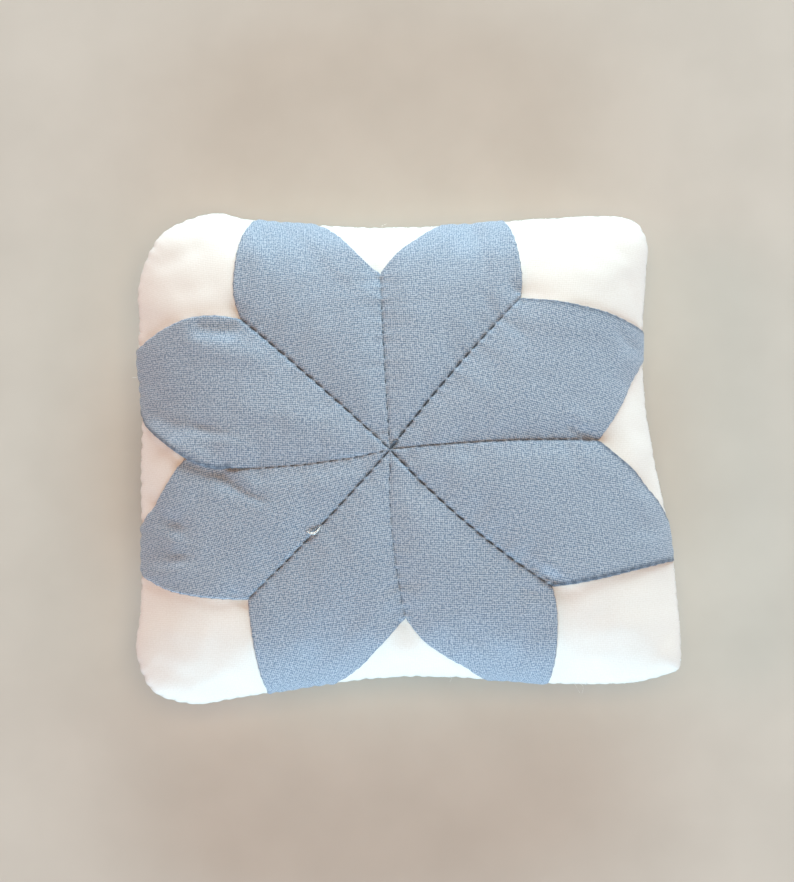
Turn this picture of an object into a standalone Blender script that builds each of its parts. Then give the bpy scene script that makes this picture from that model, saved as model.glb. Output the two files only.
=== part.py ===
"""Wrist pin cushion: a stuffed patchwork cushion with an eight-petal flower, worn on an elastic band.

Run in Blender 4.5. Sizes are in millimetres, and each is turned into metres once, by MM.
+Z points up out of the flower, +X runs the long way of the cushion along the band, and the origin lies
on the resting plane under the middle of the cushion. A bearing is an angle in degrees, counter-clockwise
from +X. The depth of a cloth is how far its outer face lies inside the outermost face of the cushion.
"""

import math

import bmesh
import bpy
import numpy as np
from mathutils import Vector

MM = 0.001

# Overall size of the cushion, without the band
LENGTH = 88.6 * MM
WIDTH = 81.0 * MM
SEAM_HEIGHT = 10.5 * MM
TOP_RISE = 12.3 * MM

# Shape of the side view: a higher fullness keeps the middle flat, a lower shoulder makes the side upright
TOP_FULLNESS = 2.6
TOP_SHOULDER = 0.62
BACK_FULLNESS = 5.0
BACK_SHOULDER = 0.8
MIDDLE_RADIUS = 40.0 * MM

# Cloth, thread and the room left between pieces
CLEARANCE = 0.3 * MM
CLOTH = 0.5 * MM
THREAD_RADIUS = 0.2 * MM

# Nested faces lie closer together at the shoulder than at the crown, by about this share
NESTING = 0.8

# Guard plate that keeps pins off the wrist
GUARD_RADIUS = 24.0 * MM
GUARD_THICKNESS = 1.0 * MM

# Elastic wrist band
BAND_WIDTH = 25.0 * MM
BAND_THICKNESS = 1.2 * MM
BAND_FLAT_LENGTH = 44.0 * MM
BAND_END_DROP = 3.4 * MM

# Corners: how far each is drawn in from the overall rectangle along X and along Y, and its radius
CORNERS = {
    "ne": (4.9 * MM, 0.2 * MM, 3.6 * MM),
    "nw": (0.0 * MM, 0.0 * MM, 7.5 * MM),
    "sw": (0.9 * MM, 0.0 * MM, 9.2 * MM),
    "se": (0.0 * MM, 5.1 * MM, 1.5 * MM),
}
CORNER_SIGNS = {"ne": (1, 1), "nw": (-1, 1), "sw": (-1, -1), "se": (1, -1)}

# Sides, counter-clockwise from each corner: share of the way along, and how far the side is drawn in there
SIDE_DRAW_IN = {
    "ne": ((0.25, 0.9 * MM), (0.50, 2.4 * MM), (0.70, 1.6 * MM)),
    "nw": ((0.25, 0.2 * MM), (0.50, 0.3 * MM), (0.75, 0.8 * MM)),
    "sw": ((0.25, 1.4 * MM), (0.50, 2.5 * MM), (0.67, 0.3 * MM), (0.86, -1.6 * MM)),
    "se": ((0.15, -0.5 * MM), (0.40, 1.2 * MM), (0.60, 3.0 * MM), (0.80, 1.8 * MM)),
}

# Flower: where the seams meet, and each seam's bearing and its length out to the valley between two petals
FLOWER_CENTRE = Vector((-2.7 * MM, -0.1 * MM, 0.0))
TACK_RADIUS = 0.8 * MM
SEAMS = {
    "e": (3.2, 33.5 * MM),
    "ne": (49.8, 32.5 * MM),
    "n": (93.2, 29.0 * MM),
    "nw": (138.3, 32.2 * MM),
    "w": (182.5, 32.3 * MM),
    "sw": (226.3, 32.7 * MM),
    "s": (275.4, 26.7 * MM),
    "se": (320.0, 33.6 * MM),
}

# Petals: the seam on each side, the bearings between which the tip meets the rim, and the bulge of each edge
PETALS = {
    "ene": ("e", "ne", 20.7, 26.5, 0.1 * MM, 0.6 * MM),
    "nne": ("ne", "n", 64.4, 77.7, 0.9 * MM, 0.4 * MM),
    "nnw": ("n", "nw", 108.0, 119.4, 0.0 * MM, 1.8 * MM),
    "wnw": ("nw", "w", 157.1, 170.1, 2.0 * MM, 1.0 * MM),
    "wsw": ("w", "sw", 195.4, 205.6, 0.4 * MM, 1.3 * MM),
    "ssw": ("sw", "s", 242.8, 256.7, 0.4 * MM, 0.4 * MM),
    "sse": ("s", "se", 292.9, 304.7, 0.9 * MM, 0.8 * MM),
    "ese": ("se", "e", 339.7, 347.3, 0.2 * MM, 0.7 * MM),
}

# How finely round shapes are divided
ROUND_SEGMENTS = 56
DOME_RINGS = 8
OUTLINE_STEPS = 12
EDGE_STEPS = 6
SEAM_STEPS = 10

# Worked out from the sizes above
DITCH = 2 * (THREAD_RADIUS + CLEARANCE)
RIM_GAP = DITCH
BACK_LEVEL = BAND_THICKNESS + CLEARANCE
BACK_DROP = SEAM_HEIGHT - RIM_GAP / 2 - BACK_LEVEL
CLOTH_DEPTH = CLOTH / NESTING
GROUND_DEPTH = (CLOTH + CLEARANCE) / NESTING
FILLING_DEPTH = 2 * GROUND_DEPTH
THREAD_DEPTH = GROUND_DEPTH - (THREAD_RADIUS + CLEARANCE) / NESTING
BAND_DEPTH = -CLEARANCE / NESTING

DUSTY_BLUE = (0.30, 0.40, 0.51)
WHITE = (0.84, 0.83, 0.80)
THREAD_GREY = (0.25, 0.31, 0.38)
FIBRE_WHITE = (0.75, 0.74, 0.70)
CARD_GREY = (0.42, 0.36, 0.28)
ELASTIC_WHITE = (0.80, 0.79, 0.76)


def clear_scene():
    """Removes whatever the scene held."""
    for obj in list(bpy.data.objects):
        bpy.data.objects.remove(obj, do_unlink=True)


def new_collection(name):
    """A collection in the scene."""
    collection = bpy.data.collections.new(name)
    bpy.context.scene.collection.children.link(collection)
    return collection


def new_material(name, colour, roughness):
    """A plain Principled material."""
    material = bpy.data.materials.new(name)
    material.use_nodes = True
    shader = material.node_tree.nodes["Principled BSDF"]
    shader.inputs["Base Color"].default_value = (*colour, 1.0)
    shader.inputs["Roughness"].default_value = roughness
    shader.inputs["Metallic"].default_value = 0.0
    return material


def new_object(name, data, collection, material=None):
    """An object with its material, smooth but for its sharp edges."""
    obj = bpy.data.objects.new(name, data)
    collection.objects.link(obj)
    if material is not None:
        data.materials.append(material)
    if obj.type == "MESH":
        data.shade_smooth()
        data.set_sharp_from_angle(angle=math.radians(40))
    return obj


def as_cutter(obj):
    """Marks an object that only shapes others."""
    obj.hide_render = True
    obj.display_type = "WIRE"
    return obj


# ---------------------------------------------------------------- the outline of the cushion


def corner_point(name):
    """The sharp corner of the outline, before it is rounded."""
    draw_x, draw_y, _ = CORNERS[name]
    sign_x, sign_y = CORNER_SIGNS[name]
    return Vector((sign_x * (LENGTH / 2 - draw_x), sign_y * (WIDTH / 2 - draw_y)))


def corner_arc(name, before, after):
    """Three points of the corner's arc: where it leaves each side, and its middle."""
    corner = corner_point(name)
    radius = CORNERS[name][2]
    to_before = (before - corner).normalized()
    to_after = (after - corner).normalized()
    half_angle = to_before.angle(to_after) / 2
    reach = radius / math.tan(half_angle)
    inward = (to_before + to_after).normalized()
    middle = corner + inward * (radius / math.sin(half_angle) - radius)
    return [corner + to_before * reach, middle, corner + to_after * reach]


def outline_knots():
    """The points that the outline runs through, counter-clockwise."""
    names = list(CORNERS)
    knots = []
    for index, name in enumerate(names):
        here = corner_point(name)
        before = corner_point(names[index - 1])
        after = corner_point(names[(index + 1) % len(names)])
        knots.extend(corner_arc(name, before, after))
        along = after - here
        inward = Vector((-along.y, along.x)).normalized()
        knots.extend(here + along * share + inward * draw for share, draw in SIDE_DRAW_IN[name])
    return knots


def spline_point(a, b, c, d, share):
    """A point between b and c on the smooth curve through four knots, with no overshoot where they crowd."""
    times = [0.0]
    for start, end in ((a, b), (b, c), (c, d)):
        times.append(times[-1] + math.sqrt((end - start).length))
    t = times[1] + (times[2] - times[1]) * share

    def mix(start, end, low, high):
        return start * ((high - t) / (high - low)) + end * ((t - low) / (high - low))

    ab = mix(a, b, times[0], times[1])
    bc = mix(b, c, times[1], times[2])
    cd = mix(c, d, times[2], times[3])
    abc = mix(ab, bc, times[0], times[2])
    bcd = mix(bc, cd, times[1], times[3])
    return mix(abc, bcd, times[1], times[2])


def outline_points():
    """The outline as a closed run of close points."""
    knots = outline_knots()
    count = len(knots)
    shares = [step / OUTLINE_STEPS for step in range(OUTLINE_STEPS)]
    return np.array([
        spline_point(knots[i - 1], knots[i], knots[(i + 1) % count], knots[(i + 2) % count], share)
        for i in range(count)
        for share in shares
    ])


OUTLINE = outline_points()
ALL_BEARINGS = np.arange(0.0, 360.0, 1.0)


def directions(bearings):
    """Unit vectors at these bearings."""
    angles = np.radians(bearings)
    return np.stack([np.cos(angles), np.sin(angles)], axis=-1)


def inset_radii(depth):
    """For each whole bearing, how far out a point can be that keeps this distance to the outline."""
    bearings = np.degrees(np.arctan2(OUTLINE[:, 1], OUTLINE[:, 0]))
    order = np.argsort(bearings)
    radii = np.hypot(OUTLINE[:, 0], OUTLINE[:, 1])[order]
    rim = np.interp(ALL_BEARINGS, bearings[order], radii, period=360.0)
    if depth <= 0.0:
        return rim - depth
    low = np.zeros_like(rim)
    high = rim
    for _ in range(24):
        middle = (low + high) / 2
        points = directions(ALL_BEARINGS) * middle[:, None]
        apart = np.linalg.norm(points[:, None] - OUTLINE[None], axis=2).min(axis=1)
        low = np.where(apart > depth, middle, low)
        high = np.where(apart > depth, high, middle)
    return low


RADII = {}


def rim_radius(bearing, depth):
    """How far the rim of the cloth at this depth lies from the middle, at a bearing."""
    key = round(depth / MM, 6)
    if key not in RADII:
        RADII[key] = inset_radii(depth)
    return float(np.interp(bearing, ALL_BEARINGS, RADII[key], period=360.0))


def ring_radius(bearing, share, depth):
    """The radius of a ring of the cushion: round in the middle, and the outline at the rim, where share is 1."""
    middle = MIDDLE_RADIUS - depth
    return share * (middle + (rim_radius(bearing, depth) - middle) * share**2)


# ---------------------------------------------------------------- the faces of the cushion


def top_height(share, depth):
    """Height of the upper face at a ring."""
    rise = (TOP_RISE - depth) * max(0.0, 1.0 - share**TOP_FULLNESS) ** TOP_SHOULDER
    return SEAM_HEIGHT + RIM_GAP / 2 + rise


def back_height(share, depth):
    """Height of the lower face at a ring."""
    drop = (BACK_DROP - depth) * max(0.0, 1.0 - share**BACK_FULLNESS) ** BACK_SHOULDER
    return SEAM_HEIGHT - RIM_GAP / 2 - drop


def ring_point(bearing, share, depth, height):
    """A point of a ring, at a height."""
    radius = ring_radius(bearing, share, depth)
    angle = math.radians(bearing)
    return Vector((radius * math.cos(angle), radius * math.sin(angle), height))


def share_at(x, y, depth):
    """Which ring passes over a place in the plan."""
    bearing = math.degrees(math.atan2(y, x))
    target = math.hypot(x, y)
    low, high = 0.0, 1.0
    for _ in range(30):
        middle = (low + high) / 2
        if ring_radius(bearing, middle, depth) < target:
            low = middle
        else:
            high = middle
    return high


def on_top(place, depth):
    """The point of the upper face over a place in the plan."""
    share = share_at(place.x, place.y, depth)
    return Vector((place.x, place.y, top_height(share, depth)))


def corner_bearings():
    """Each corner's bearing, in order round the cushion."""
    found = {}
    for name in CORNERS:
        corner = corner_point(name)
        found[name] = math.degrees(math.atan2(corner.y, corner.x)) % 360.0
    return found


def segment_bearing(turn):
    """Moves an even spacing of bearings so that one falls on each corner."""
    at = corner_bearings()
    even = [-45.0, 45.0, 135.0, 225.0, 315.0, 405.0]
    moved = [at["se"] - 360.0, at["ne"], at["nw"], at["sw"], at["se"], at["ne"] + 360.0]
    return float(np.interp(turn % 360.0, even, moved))


def pillow(height_above, height_below, depth):
    """A sphere reshaped to the cushion's rings. It leaves out the half for which no height is given."""
    mesh = bmesh.new()
    bmesh.ops.create_uvsphere(mesh, u_segments=ROUND_SEGMENTS, v_segments=2 * DOME_RINGS, radius=1.0)
    unwanted = [
        vertex for vertex in mesh.verts
        if (height_above is None and vertex.co.z > 1e-4) or (height_below is None and vertex.co.z < -1e-4)
    ]
    bmesh.ops.delete(mesh, geom=unwanted, context="VERTS")
    for vertex in mesh.verts:
        share = min(1.0, math.hypot(vertex.co.x, vertex.co.y))
        height = height_above if height_below is None or vertex.co.z > 0.0 else height_below
        bearing = segment_bearing(math.degrees(math.atan2(vertex.co.y, vertex.co.x)))
        vertex.co = ring_point(bearing, share, depth, height(share))
    bmesh.ops.recalc_face_normals(mesh, faces=mesh.faces)
    return mesh


def to_mesh(mesh, name):
    """Turns the working mesh into mesh data."""
    data = bpy.data.meshes.new(name)
    mesh.to_mesh(data)
    mesh.free()
    return data


def add_half(mesh, height, above, depth):
    """Adds one half of the cushion's form to a working mesh, and gives the vertices that it added."""
    def face(share):
        return height(share, depth)

    half = to_mesh(pillow(face if above else None, None if above else face, depth), "half")
    before = len(mesh.verts)
    mesh.from_mesh(half)
    bpy.data.meshes.remove(half)
    mesh.verts.ensure_lookup_table()
    return mesh.verts[before:]


def shell(name, height, above, outer_depth, inner_depth):
    """One half of the cushion as a cloth: two nested faces, joined round the rim by a flat edge."""
    mesh = bmesh.new()
    outer = add_half(mesh, height, above, outer_depth)
    rims = [[outer.index(vertex) for vertex in edge.verts] for edge in mesh.edges if edge.is_boundary]
    inner = add_half(mesh, height, above, inner_depth)
    for a, b in rims:
        mesh.faces.new((outer[a], outer[b], inner[b], inner[a]))
    bmesh.ops.recalc_face_normals(mesh, faces=mesh.faces)
    return to_mesh(mesh, name)


def keep_inside(obj, cutter):
    """Keeps what lies inside the cutter."""
    modifier = obj.modifiers.new("Outline", "BOOLEAN")
    modifier.operation = "INTERSECT"
    modifier.object = cutter


# ---------------------------------------------------------------- the flower


def seam_place(name, length):
    """A place on a seam, at a distance from the flower's centre."""
    angle = math.radians(SEAMS[name][0])
    return FLOWER_CENTRE + Vector((math.cos(angle), math.sin(angle), 0.0)) * length


def valley(name):
    """Where two petals part."""
    return seam_place(name, SEAMS[name][1])


def rim_place(bearing, depth):
    """Where a line from the flower's centre at a bearing meets the rim."""
    angle = math.radians(bearing)
    away = Vector((math.cos(angle), math.sin(angle), 0.0))
    low, high = 0.0, LENGTH + WIDTH
    for _ in range(40):
        middle = (low + high) / 2
        place = FLOWER_CENTRE + away * middle
        if place.length < rim_radius(math.degrees(math.atan2(place.y, place.x)), depth):
            low = middle
        else:
            high = middle
    return FLOWER_CENTRE + away * low


def petal_edge(start, end, bulge):
    """The places along a petal's edge, from its valley to the rim. A positive bulge is to the right."""
    along = end - start
    right = Vector((along.y, -along.x, 0.0)).normalized()
    shares = [step / EDGE_STEPS for step in range(EDGE_STEPS + 1)]
    return [start + along * share + right * (bulge * 4 * share * (1 - share)) for share in shares]


def petal_edges(name):
    """Both edges of a petal, each from its valley to the rim."""
    first, last, tip_from, tip_to, first_bulge, last_bulge = PETALS[name]
    right_edge = petal_edge(valley(first), rim_place(tip_from, 0.0), first_bulge)
    left_edge = petal_edge(valley(last), rim_place(tip_to, 0.0), -last_bulge)
    return right_edge, left_edge


def inset_loop(points, depth):
    """Moves each side of a counter-clockwise loop inward."""
    moved = []
    for index, point in enumerate(points):
        arriving = (point - points[index - 1]).normalized()
        leaving = (points[(index + 1) % len(points)] - point).normalized()
        inward_a = Vector((-arriving.y, arriving.x, 0.0))
        inward_b = Vector((-leaving.y, leaving.x, 0.0))
        both = (inward_a + inward_b).normalized()
        moved.append(point + both * (depth / both.dot(inward_a)))
    return moved


def solid_from_curve(drawn, name, collection):
    """Puts a closed mesh in the place of a curve object, with the curve's caps welded on."""
    bpy.context.view_layer.update()
    graph = bpy.context.evaluated_depsgraph_get()
    data = bpy.data.meshes.new_from_object(drawn.evaluated_get(graph))
    data.name = name
    mesh = bmesh.new()
    mesh.from_mesh(data)
    bmesh.ops.remove_doubles(mesh, verts=mesh.verts, dist=0.001 * MM)
    bmesh.ops.recalc_face_normals(mesh, faces=mesh.faces)
    mesh.to_mesh(data)
    mesh.free()
    solid = new_object(name, data, collection)
    solid.matrix_world = drawn.matrix_world.copy()
    bpy.data.objects.remove(drawn, do_unlink=True)
    return solid


def prism(name, loop, bottom, top, collection):
    """A flat outline drawn up into a block, as a cutter."""
    curve = bpy.data.curves.new(name, "CURVE")
    curve.dimensions = "2D"
    curve.fill_mode = "BOTH"
    curve.extrude = (top - bottom) / 2
    spline = curve.splines.new("POLY")
    spline.points.add(len(loop) - 1)
    for point, place in zip(spline.points, loop):
        point.co = (place.x, place.y, 0.0, 1.0)
    spline.use_cyclic_u = True
    drawn = new_object(name + "_outline", curve, collection)
    drawn.location.z = (top + bottom) / 2
    return as_cutter(solid_from_curve(drawn, name, collection))


def make_petal(name, parts, cutters, material):
    """One petal: the outermost cloth, cut to the petal's outline with half a ditch left on every side."""
    right_edge, left_edge = petal_edges(name)
    past_rim = 1.3
    beyond = [right_edge[-1] * past_rim, left_edge[-1] * past_rim]
    loop = [FLOWER_CENTRE, *right_edge, *beyond, *reversed(left_edge)]
    top = SEAM_HEIGHT + RIM_GAP + TOP_RISE
    cutter = prism("cut_petal_" + name, inset_loop(loop, DITCH / 2), 0.0, top, cutters)
    cloth = shell("petal_" + name, top_height, True, 0.0, CLOTH_DEPTH)
    petal = new_object("petal_" + name, cloth, parts, material)
    keep_inside(petal, cutter)
    return petal


def make_thread(name, points, parts, material, closed=False):
    """A thread as a round wire through its points."""
    curve = bpy.data.curves.new(name, "CURVE")
    curve.dimensions = "3D"
    curve.bevel_depth = THREAD_RADIUS
    curve.bevel_resolution = 1
    curve.use_fill_caps = not closed
    spline = curve.splines.new("POLY")
    spline.points.add(len(points) - 1)
    for point, place in zip(spline.points, points):
        point.co = (*place, 1.0)
    spline.use_cyclic_u = closed
    return new_object(name, curve, parts, material)


def make_seam_thread(name, parts, material):
    """The stitching in the ditch between two petals, from the centre tack to just short of the valley."""
    start = TACK_RADIUS + CLEARANCE + 2 * THREAD_RADIUS
    end = SEAMS[name][1] - 2 * THREAD_RADIUS - CLEARANCE
    lengths = [start + (end - start) * step / SEAM_STEPS for step in range(SEAM_STEPS + 1)]
    points = [on_top(seam_place(name, length), THREAD_DEPTH) for length in lengths]
    return make_thread("seam_thread_" + name, points, parts, material)


def make_edge_thread(name, parts, material):
    """The stitching that holds down the two petal edges on either side of a valley."""
    petal_before = next(petal for petal, row in PETALS.items() if row[1] == name)
    petal_after = next(petal for petal, row in PETALS.items() if row[0] == name)
    incoming = petal_edges(petal_before)[1]
    outgoing = petal_edges(petal_after)[0]
    places = [*reversed(incoming[:-1]), *outgoing[1:-1]]
    points = [on_top(place, THREAD_DEPTH) for place in places]
    return make_thread("edge_thread_" + name, points, parts, material)


def make_centre_tack(parts, material):
    """The knot of thread where the seams meet."""
    mesh = bmesh.new()
    bmesh.ops.create_cone(
        mesh, cap_ends=True, segments=16, radius1=TACK_RADIUS, radius2=TACK_RADIUS, depth=CLOTH
    )
    tack = new_object("centre_tack", to_mesh(mesh, "centre_tack"), parts, material)
    tack.location = on_top(FLOWER_CENTRE, GROUND_DEPTH - CLEARANCE - CLOTH / 2)
    return tack


# ---------------------------------------------------------------- the body of the cushion


def make_ground_panel(parts, material):
    """The white top cloth that the petals are sewn onto."""
    cloth = shell("ground_panel", top_height, True, GROUND_DEPTH, GROUND_DEPTH + CLOTH_DEPTH)
    return new_object("ground_panel", cloth, parts, material)


def make_back_panel(parts, material):
    """The white cloth underneath."""
    cloth = shell("back_panel", back_height, False, 0.0, CLOTH_DEPTH)
    return new_object("back_panel", cloth, parts, material)


def guard_base():
    """Height of the guard's underside: clear of the back cloth, which curves up towards the guard's edge."""
    around = directions(ALL_BEARINGS) * GUARD_RADIUS
    edge_share = max(share_at(x, y, CLOTH_DEPTH) for x, y in around)
    return back_height(edge_share, CLOTH_DEPTH) + CLEARANCE


def make_pin_guard(parts, material):
    """The stiff disc under the stuffing that stops the points of the pins."""
    mesh = bmesh.new()
    bmesh.ops.create_cone(
        mesh, cap_ends=True, segments=48, radius1=GUARD_RADIUS, radius2=GUARD_RADIUS, depth=GUARD_THICKNESS
    )
    guard = new_object("pin_guard", to_mesh(mesh, "pin_guard"), parts, material)
    guard.location.z = guard_base() + GUARD_THICKNESS / 2
    return guard


def make_filling(parts, material):
    """The stuffing, as one body that fills the two cloths above the guard."""
    base_depth = guard_base() + GUARD_THICKNESS + CLEARANCE - BACK_LEVEL
    filling = pillow(
        lambda share: top_height(share, FILLING_DEPTH),
        lambda share: back_height(share, base_depth),
        FILLING_DEPTH,
    )
    return new_object("filling", to_mesh(filling, "filling"), parts, material)


def make_rim_thread(parts, material):
    """The whipped thread that closes the seam between the top and the back, all round the rim."""
    turns = [360.0 * step / ROUND_SEGMENTS for step in range(ROUND_SEGMENTS)]
    points = [
        ring_point(segment_bearing(turn), 1.0, THREAD_RADIUS, SEAM_HEIGHT) for turn in turns
    ]
    return make_thread("rim_thread", points, parts, material, closed=True)


# ---------------------------------------------------------------- the wrist band


def block(name, low, high, collection):
    """A box between two opposite corners, with its origin in its middle."""
    mesh = bmesh.new()
    bmesh.ops.create_cube(mesh, size=1.0)
    bmesh.ops.scale(mesh, vec=high - low, verts=mesh.verts)
    box = new_object(name, to_mesh(mesh, name), collection)
    box.location = (low + high) / 2
    return box


def make_band_middle(parts, material):
    """The run of elastic that lies flat under the cushion, on which it rests."""
    half = Vector((BAND_FLAT_LENGTH / 2, BAND_WIDTH / 2, 0.0))
    top = Vector((0.0, 0.0, BAND_THICKNESS))
    middle = block("band_middle", -half, half + top, parts)
    middle.data.materials.append(material)
    return middle


def band_end_height():
    """Height at which the elastic ends, under the rim seam."""
    return SEAM_HEIGHT - BAND_END_DROP


def make_band_side(name, sign, parts, cutters, material):
    """The run of elastic that climbs from the flat run to the rim seam."""
    near = sign * (BAND_FLAT_LENGTH / 2 + CLEARANCE)
    far = sign * LENGTH
    low = Vector((min(near, far), -BAND_WIDTH / 2, -BAND_THICKNESS))
    high = Vector((max(near, far), BAND_WIDTH / 2, band_end_height()))
    cutter = as_cutter(block("cut_" + name, low, high, cutters))
    elastic = shell(name, back_height, False, BAND_DEPTH - BAND_THICKNESS, BAND_DEPTH)
    side = new_object(name, elastic, parts, material)
    keep_inside(side, cutter)
    return side


def make_band_stitch(name, bearing, parts, material):
    """The row of stitches that holds one end of the elastic to the back cloth."""
    depth = -(CLEARANCE + THREAD_RADIUS)
    height = band_end_height() + CLEARANCE + THREAD_RADIUS
    drop = (SEAM_HEIGHT - RIM_GAP / 2 - height) / (BACK_DROP - depth)
    share = (1.0 - drop ** (1 / BACK_SHOULDER)) ** (1 / BACK_FULLNESS)
    spread = math.degrees(math.asin(BAND_WIDTH / 2 / rim_radius(bearing, 0.0)))
    turns = [bearing + spread * (step / 4 - 1) for step in range(9)]
    points = [ring_point(turn, share, depth, height) for turn in turns]
    return make_thread(name, points, parts, material)


def main():
    clear_scene()
    parts = new_collection("wrist_pin_cushion")
    cutters = new_collection("cutters")
    blue = new_material("blue_cotton", DUSTY_BLUE, 0.9)
    white = new_material("white_cotton", WHITE, 0.9)
    thread = new_material("grey_thread", THREAD_GREY, 0.8)
    fibre = new_material("fibre_filling", FIBRE_WHITE, 1.0)
    card = new_material("guard_card", CARD_GREY, 0.85)
    elastic = new_material("elastic", ELASTIC_WHITE, 0.85)

    make_ground_panel(parts, white)
    make_back_panel(parts, white)
    make_filling(parts, fibre)
    make_pin_guard(parts, card)
    make_rim_thread(parts, white)
    for name in PETALS:
        make_petal(name, parts, cutters, blue)
    for name in SEAMS:
        make_seam_thread(name, parts, thread)
        make_edge_thread(name, parts, thread)
    make_centre_tack(parts, thread)
    make_band_middle(parts, elastic)
    make_band_side("band_side_left", -1, parts, cutters, elastic)
    make_band_side("band_side_right", 1, parts, cutters, elastic)
    make_band_stitch("band_stitch_left", 180.0, parts, white)
    make_band_stitch("band_stitch_right", 0.0, parts, white)


main()
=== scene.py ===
"""Wrist pin cushion: cloth, stitches, stuffing and elastic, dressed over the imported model."""

import math

import bmesh
import bpy
import numpy as np
from bpy.props import FloatProperty, FloatVectorProperty, IntProperty, PointerProperty
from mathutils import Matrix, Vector
from mathutils.bvhtree import BVHTree
from mathutils.geometry import delaunay_2d_cdt


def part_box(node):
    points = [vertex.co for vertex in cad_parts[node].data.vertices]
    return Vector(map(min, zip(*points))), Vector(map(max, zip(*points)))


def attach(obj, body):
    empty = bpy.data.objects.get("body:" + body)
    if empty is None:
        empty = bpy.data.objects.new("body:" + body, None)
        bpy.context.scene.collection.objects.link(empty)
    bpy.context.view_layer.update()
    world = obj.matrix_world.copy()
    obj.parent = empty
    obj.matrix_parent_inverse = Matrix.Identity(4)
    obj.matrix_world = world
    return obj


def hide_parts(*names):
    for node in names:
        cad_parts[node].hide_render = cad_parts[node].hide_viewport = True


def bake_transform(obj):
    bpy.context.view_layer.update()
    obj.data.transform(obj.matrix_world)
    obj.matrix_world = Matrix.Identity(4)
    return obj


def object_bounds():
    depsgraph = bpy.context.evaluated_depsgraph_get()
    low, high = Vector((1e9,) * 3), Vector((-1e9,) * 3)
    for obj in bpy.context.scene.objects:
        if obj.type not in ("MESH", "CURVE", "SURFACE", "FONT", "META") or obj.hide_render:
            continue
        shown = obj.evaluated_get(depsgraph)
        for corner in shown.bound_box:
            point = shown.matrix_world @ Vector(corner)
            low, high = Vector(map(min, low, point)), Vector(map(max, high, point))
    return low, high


bl_info = {
    "name": "Wrist Pin Cushion",
    "version": (1, 0, 0),
    "blender": (4, 5, 0),
    "location": "View3D > Sidebar > Pin Cushion",
    "description": "Sews a patchwork pin cushion with its petals, stitches and wrist elastic",
    "category": "Add Mesh",
}

MM = 0.001

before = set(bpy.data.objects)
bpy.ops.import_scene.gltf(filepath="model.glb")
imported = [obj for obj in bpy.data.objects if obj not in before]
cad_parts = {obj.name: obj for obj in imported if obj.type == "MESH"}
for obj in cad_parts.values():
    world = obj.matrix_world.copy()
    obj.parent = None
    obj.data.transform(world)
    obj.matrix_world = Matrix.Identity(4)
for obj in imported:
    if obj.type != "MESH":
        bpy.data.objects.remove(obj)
CAD_BOX = [list(corner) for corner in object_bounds()]
RIM_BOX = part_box("rim_thread")
BAND_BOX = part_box("band_middle")
BACK_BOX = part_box("back_panel")
TACK_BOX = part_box("centre_tack")

# ---------------------------------------------------------------- the cushion's form
# Lengths here are in metres, bearings in degrees counter-clockwise from +X.

SEAM_HEIGHT = (RIM_BOX[0].z + RIM_BOX[1].z) / 2
CROWN_HEIGHT = CAD_BOX[1][2] - 0.5 * MM
BACK_LEVEL = BACK_BOX[0].z
HALF_LENGTH = (RIM_BOX[1].x - RIM_BOX[0].x) / 2
HALF_WIDTH = (RIM_BOX[1].y - RIM_BOX[0].y) / 2
FLOWER_CENTRE = (TACK_BOX[0] + TACK_BOX[1]) / 2

# How flat the middle is, and how upright the side is, above and below the rim
TOP_FORM = (2.6, 0.62)
BACK_FORM = (5.0, 0.8)
MIDDLE_RADIUS = 40.0 * MM

# Corners: signs, how far each is drawn in along X and Y, and its radius
CORNERS = (
    ((1, 1), 5.0 * MM, 1.1 * MM, 4.6 * MM),
    ((-1, 1), 0.0 * MM, 0.3 * MM, 12.5 * MM),
    ((-1, -1), 0.7 * MM, -0.6 * MM, 8.2 * MM),
    ((1, -1), 0.0 * MM, 5.1 * MM, 1.6 * MM),
)

# Sides, counter-clockwise from each corner: share of the way along, and how far drawn in
SIDES = (
    ((0.10, -0.1 * MM), (0.20, 0.3 * MM), (0.35, 1.4 * MM), (0.51, 2.1 * MM), (0.68, 1.6 * MM), (0.79, 0.9 * MM)),
    ((0.22, 0.2 * MM), (0.30, -0.1 * MM), (0.40, 0.6 * MM), (0.55, 0.5 * MM), (0.66, 0.7 * MM), (0.80, 0.6 * MM)),
    ((0.20, 0.5 * MM), (0.35, 1.7 * MM), (0.50, 2.0 * MM), (0.65, 0.7 * MM), (0.80, -0.9 * MM), (0.92, -1.1 * MM)),
    ((0.11, -0.3 * MM), (0.30, 0.1 * MM), (0.46, 1.6 * MM), (0.60, 2.4 * MM), (0.76, 1.7 * MM), (0.88, 0.5 * MM)),
)

# Seams between petals: bearing and length from the flower's centre, how far each bows to its right, how
# deep its ditch sinks and how dark its painted shade reads at the centre and at the valley, and how much of each
# stitch shows
SEAMS = {
    "e": (3.2, 33.5 * MM, -0.4 * MM, 0.3, 0.6, 0.85),
    "ne": (49.8, 32.5 * MM, -0.5 * MM, 1.0, 0.45, 0.95),
    "n": (93.2, 29.0 * MM, -0.1 * MM, 0.15, 0.35, 0.75),
    "nw": (138.3, 32.2 * MM, 0.2 * MM, 0.5, 0.9, 0.85),
    "w": (186.2, 25.8 * MM, -0.85 * MM, 0.15, 0.35, 0.45),
    "sw": (226.3, 32.7 * MM, -0.4 * MM, 0.9, 0.5, 0.85),
    "s": (275.4, 26.7 * MM, 0.9 * MM, 0.0, 0.45, 0.7),
    "se": (320.0, 33.6 * MM, 1.1 * MM, 0.95, 0.8, 1.05),
}
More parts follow.
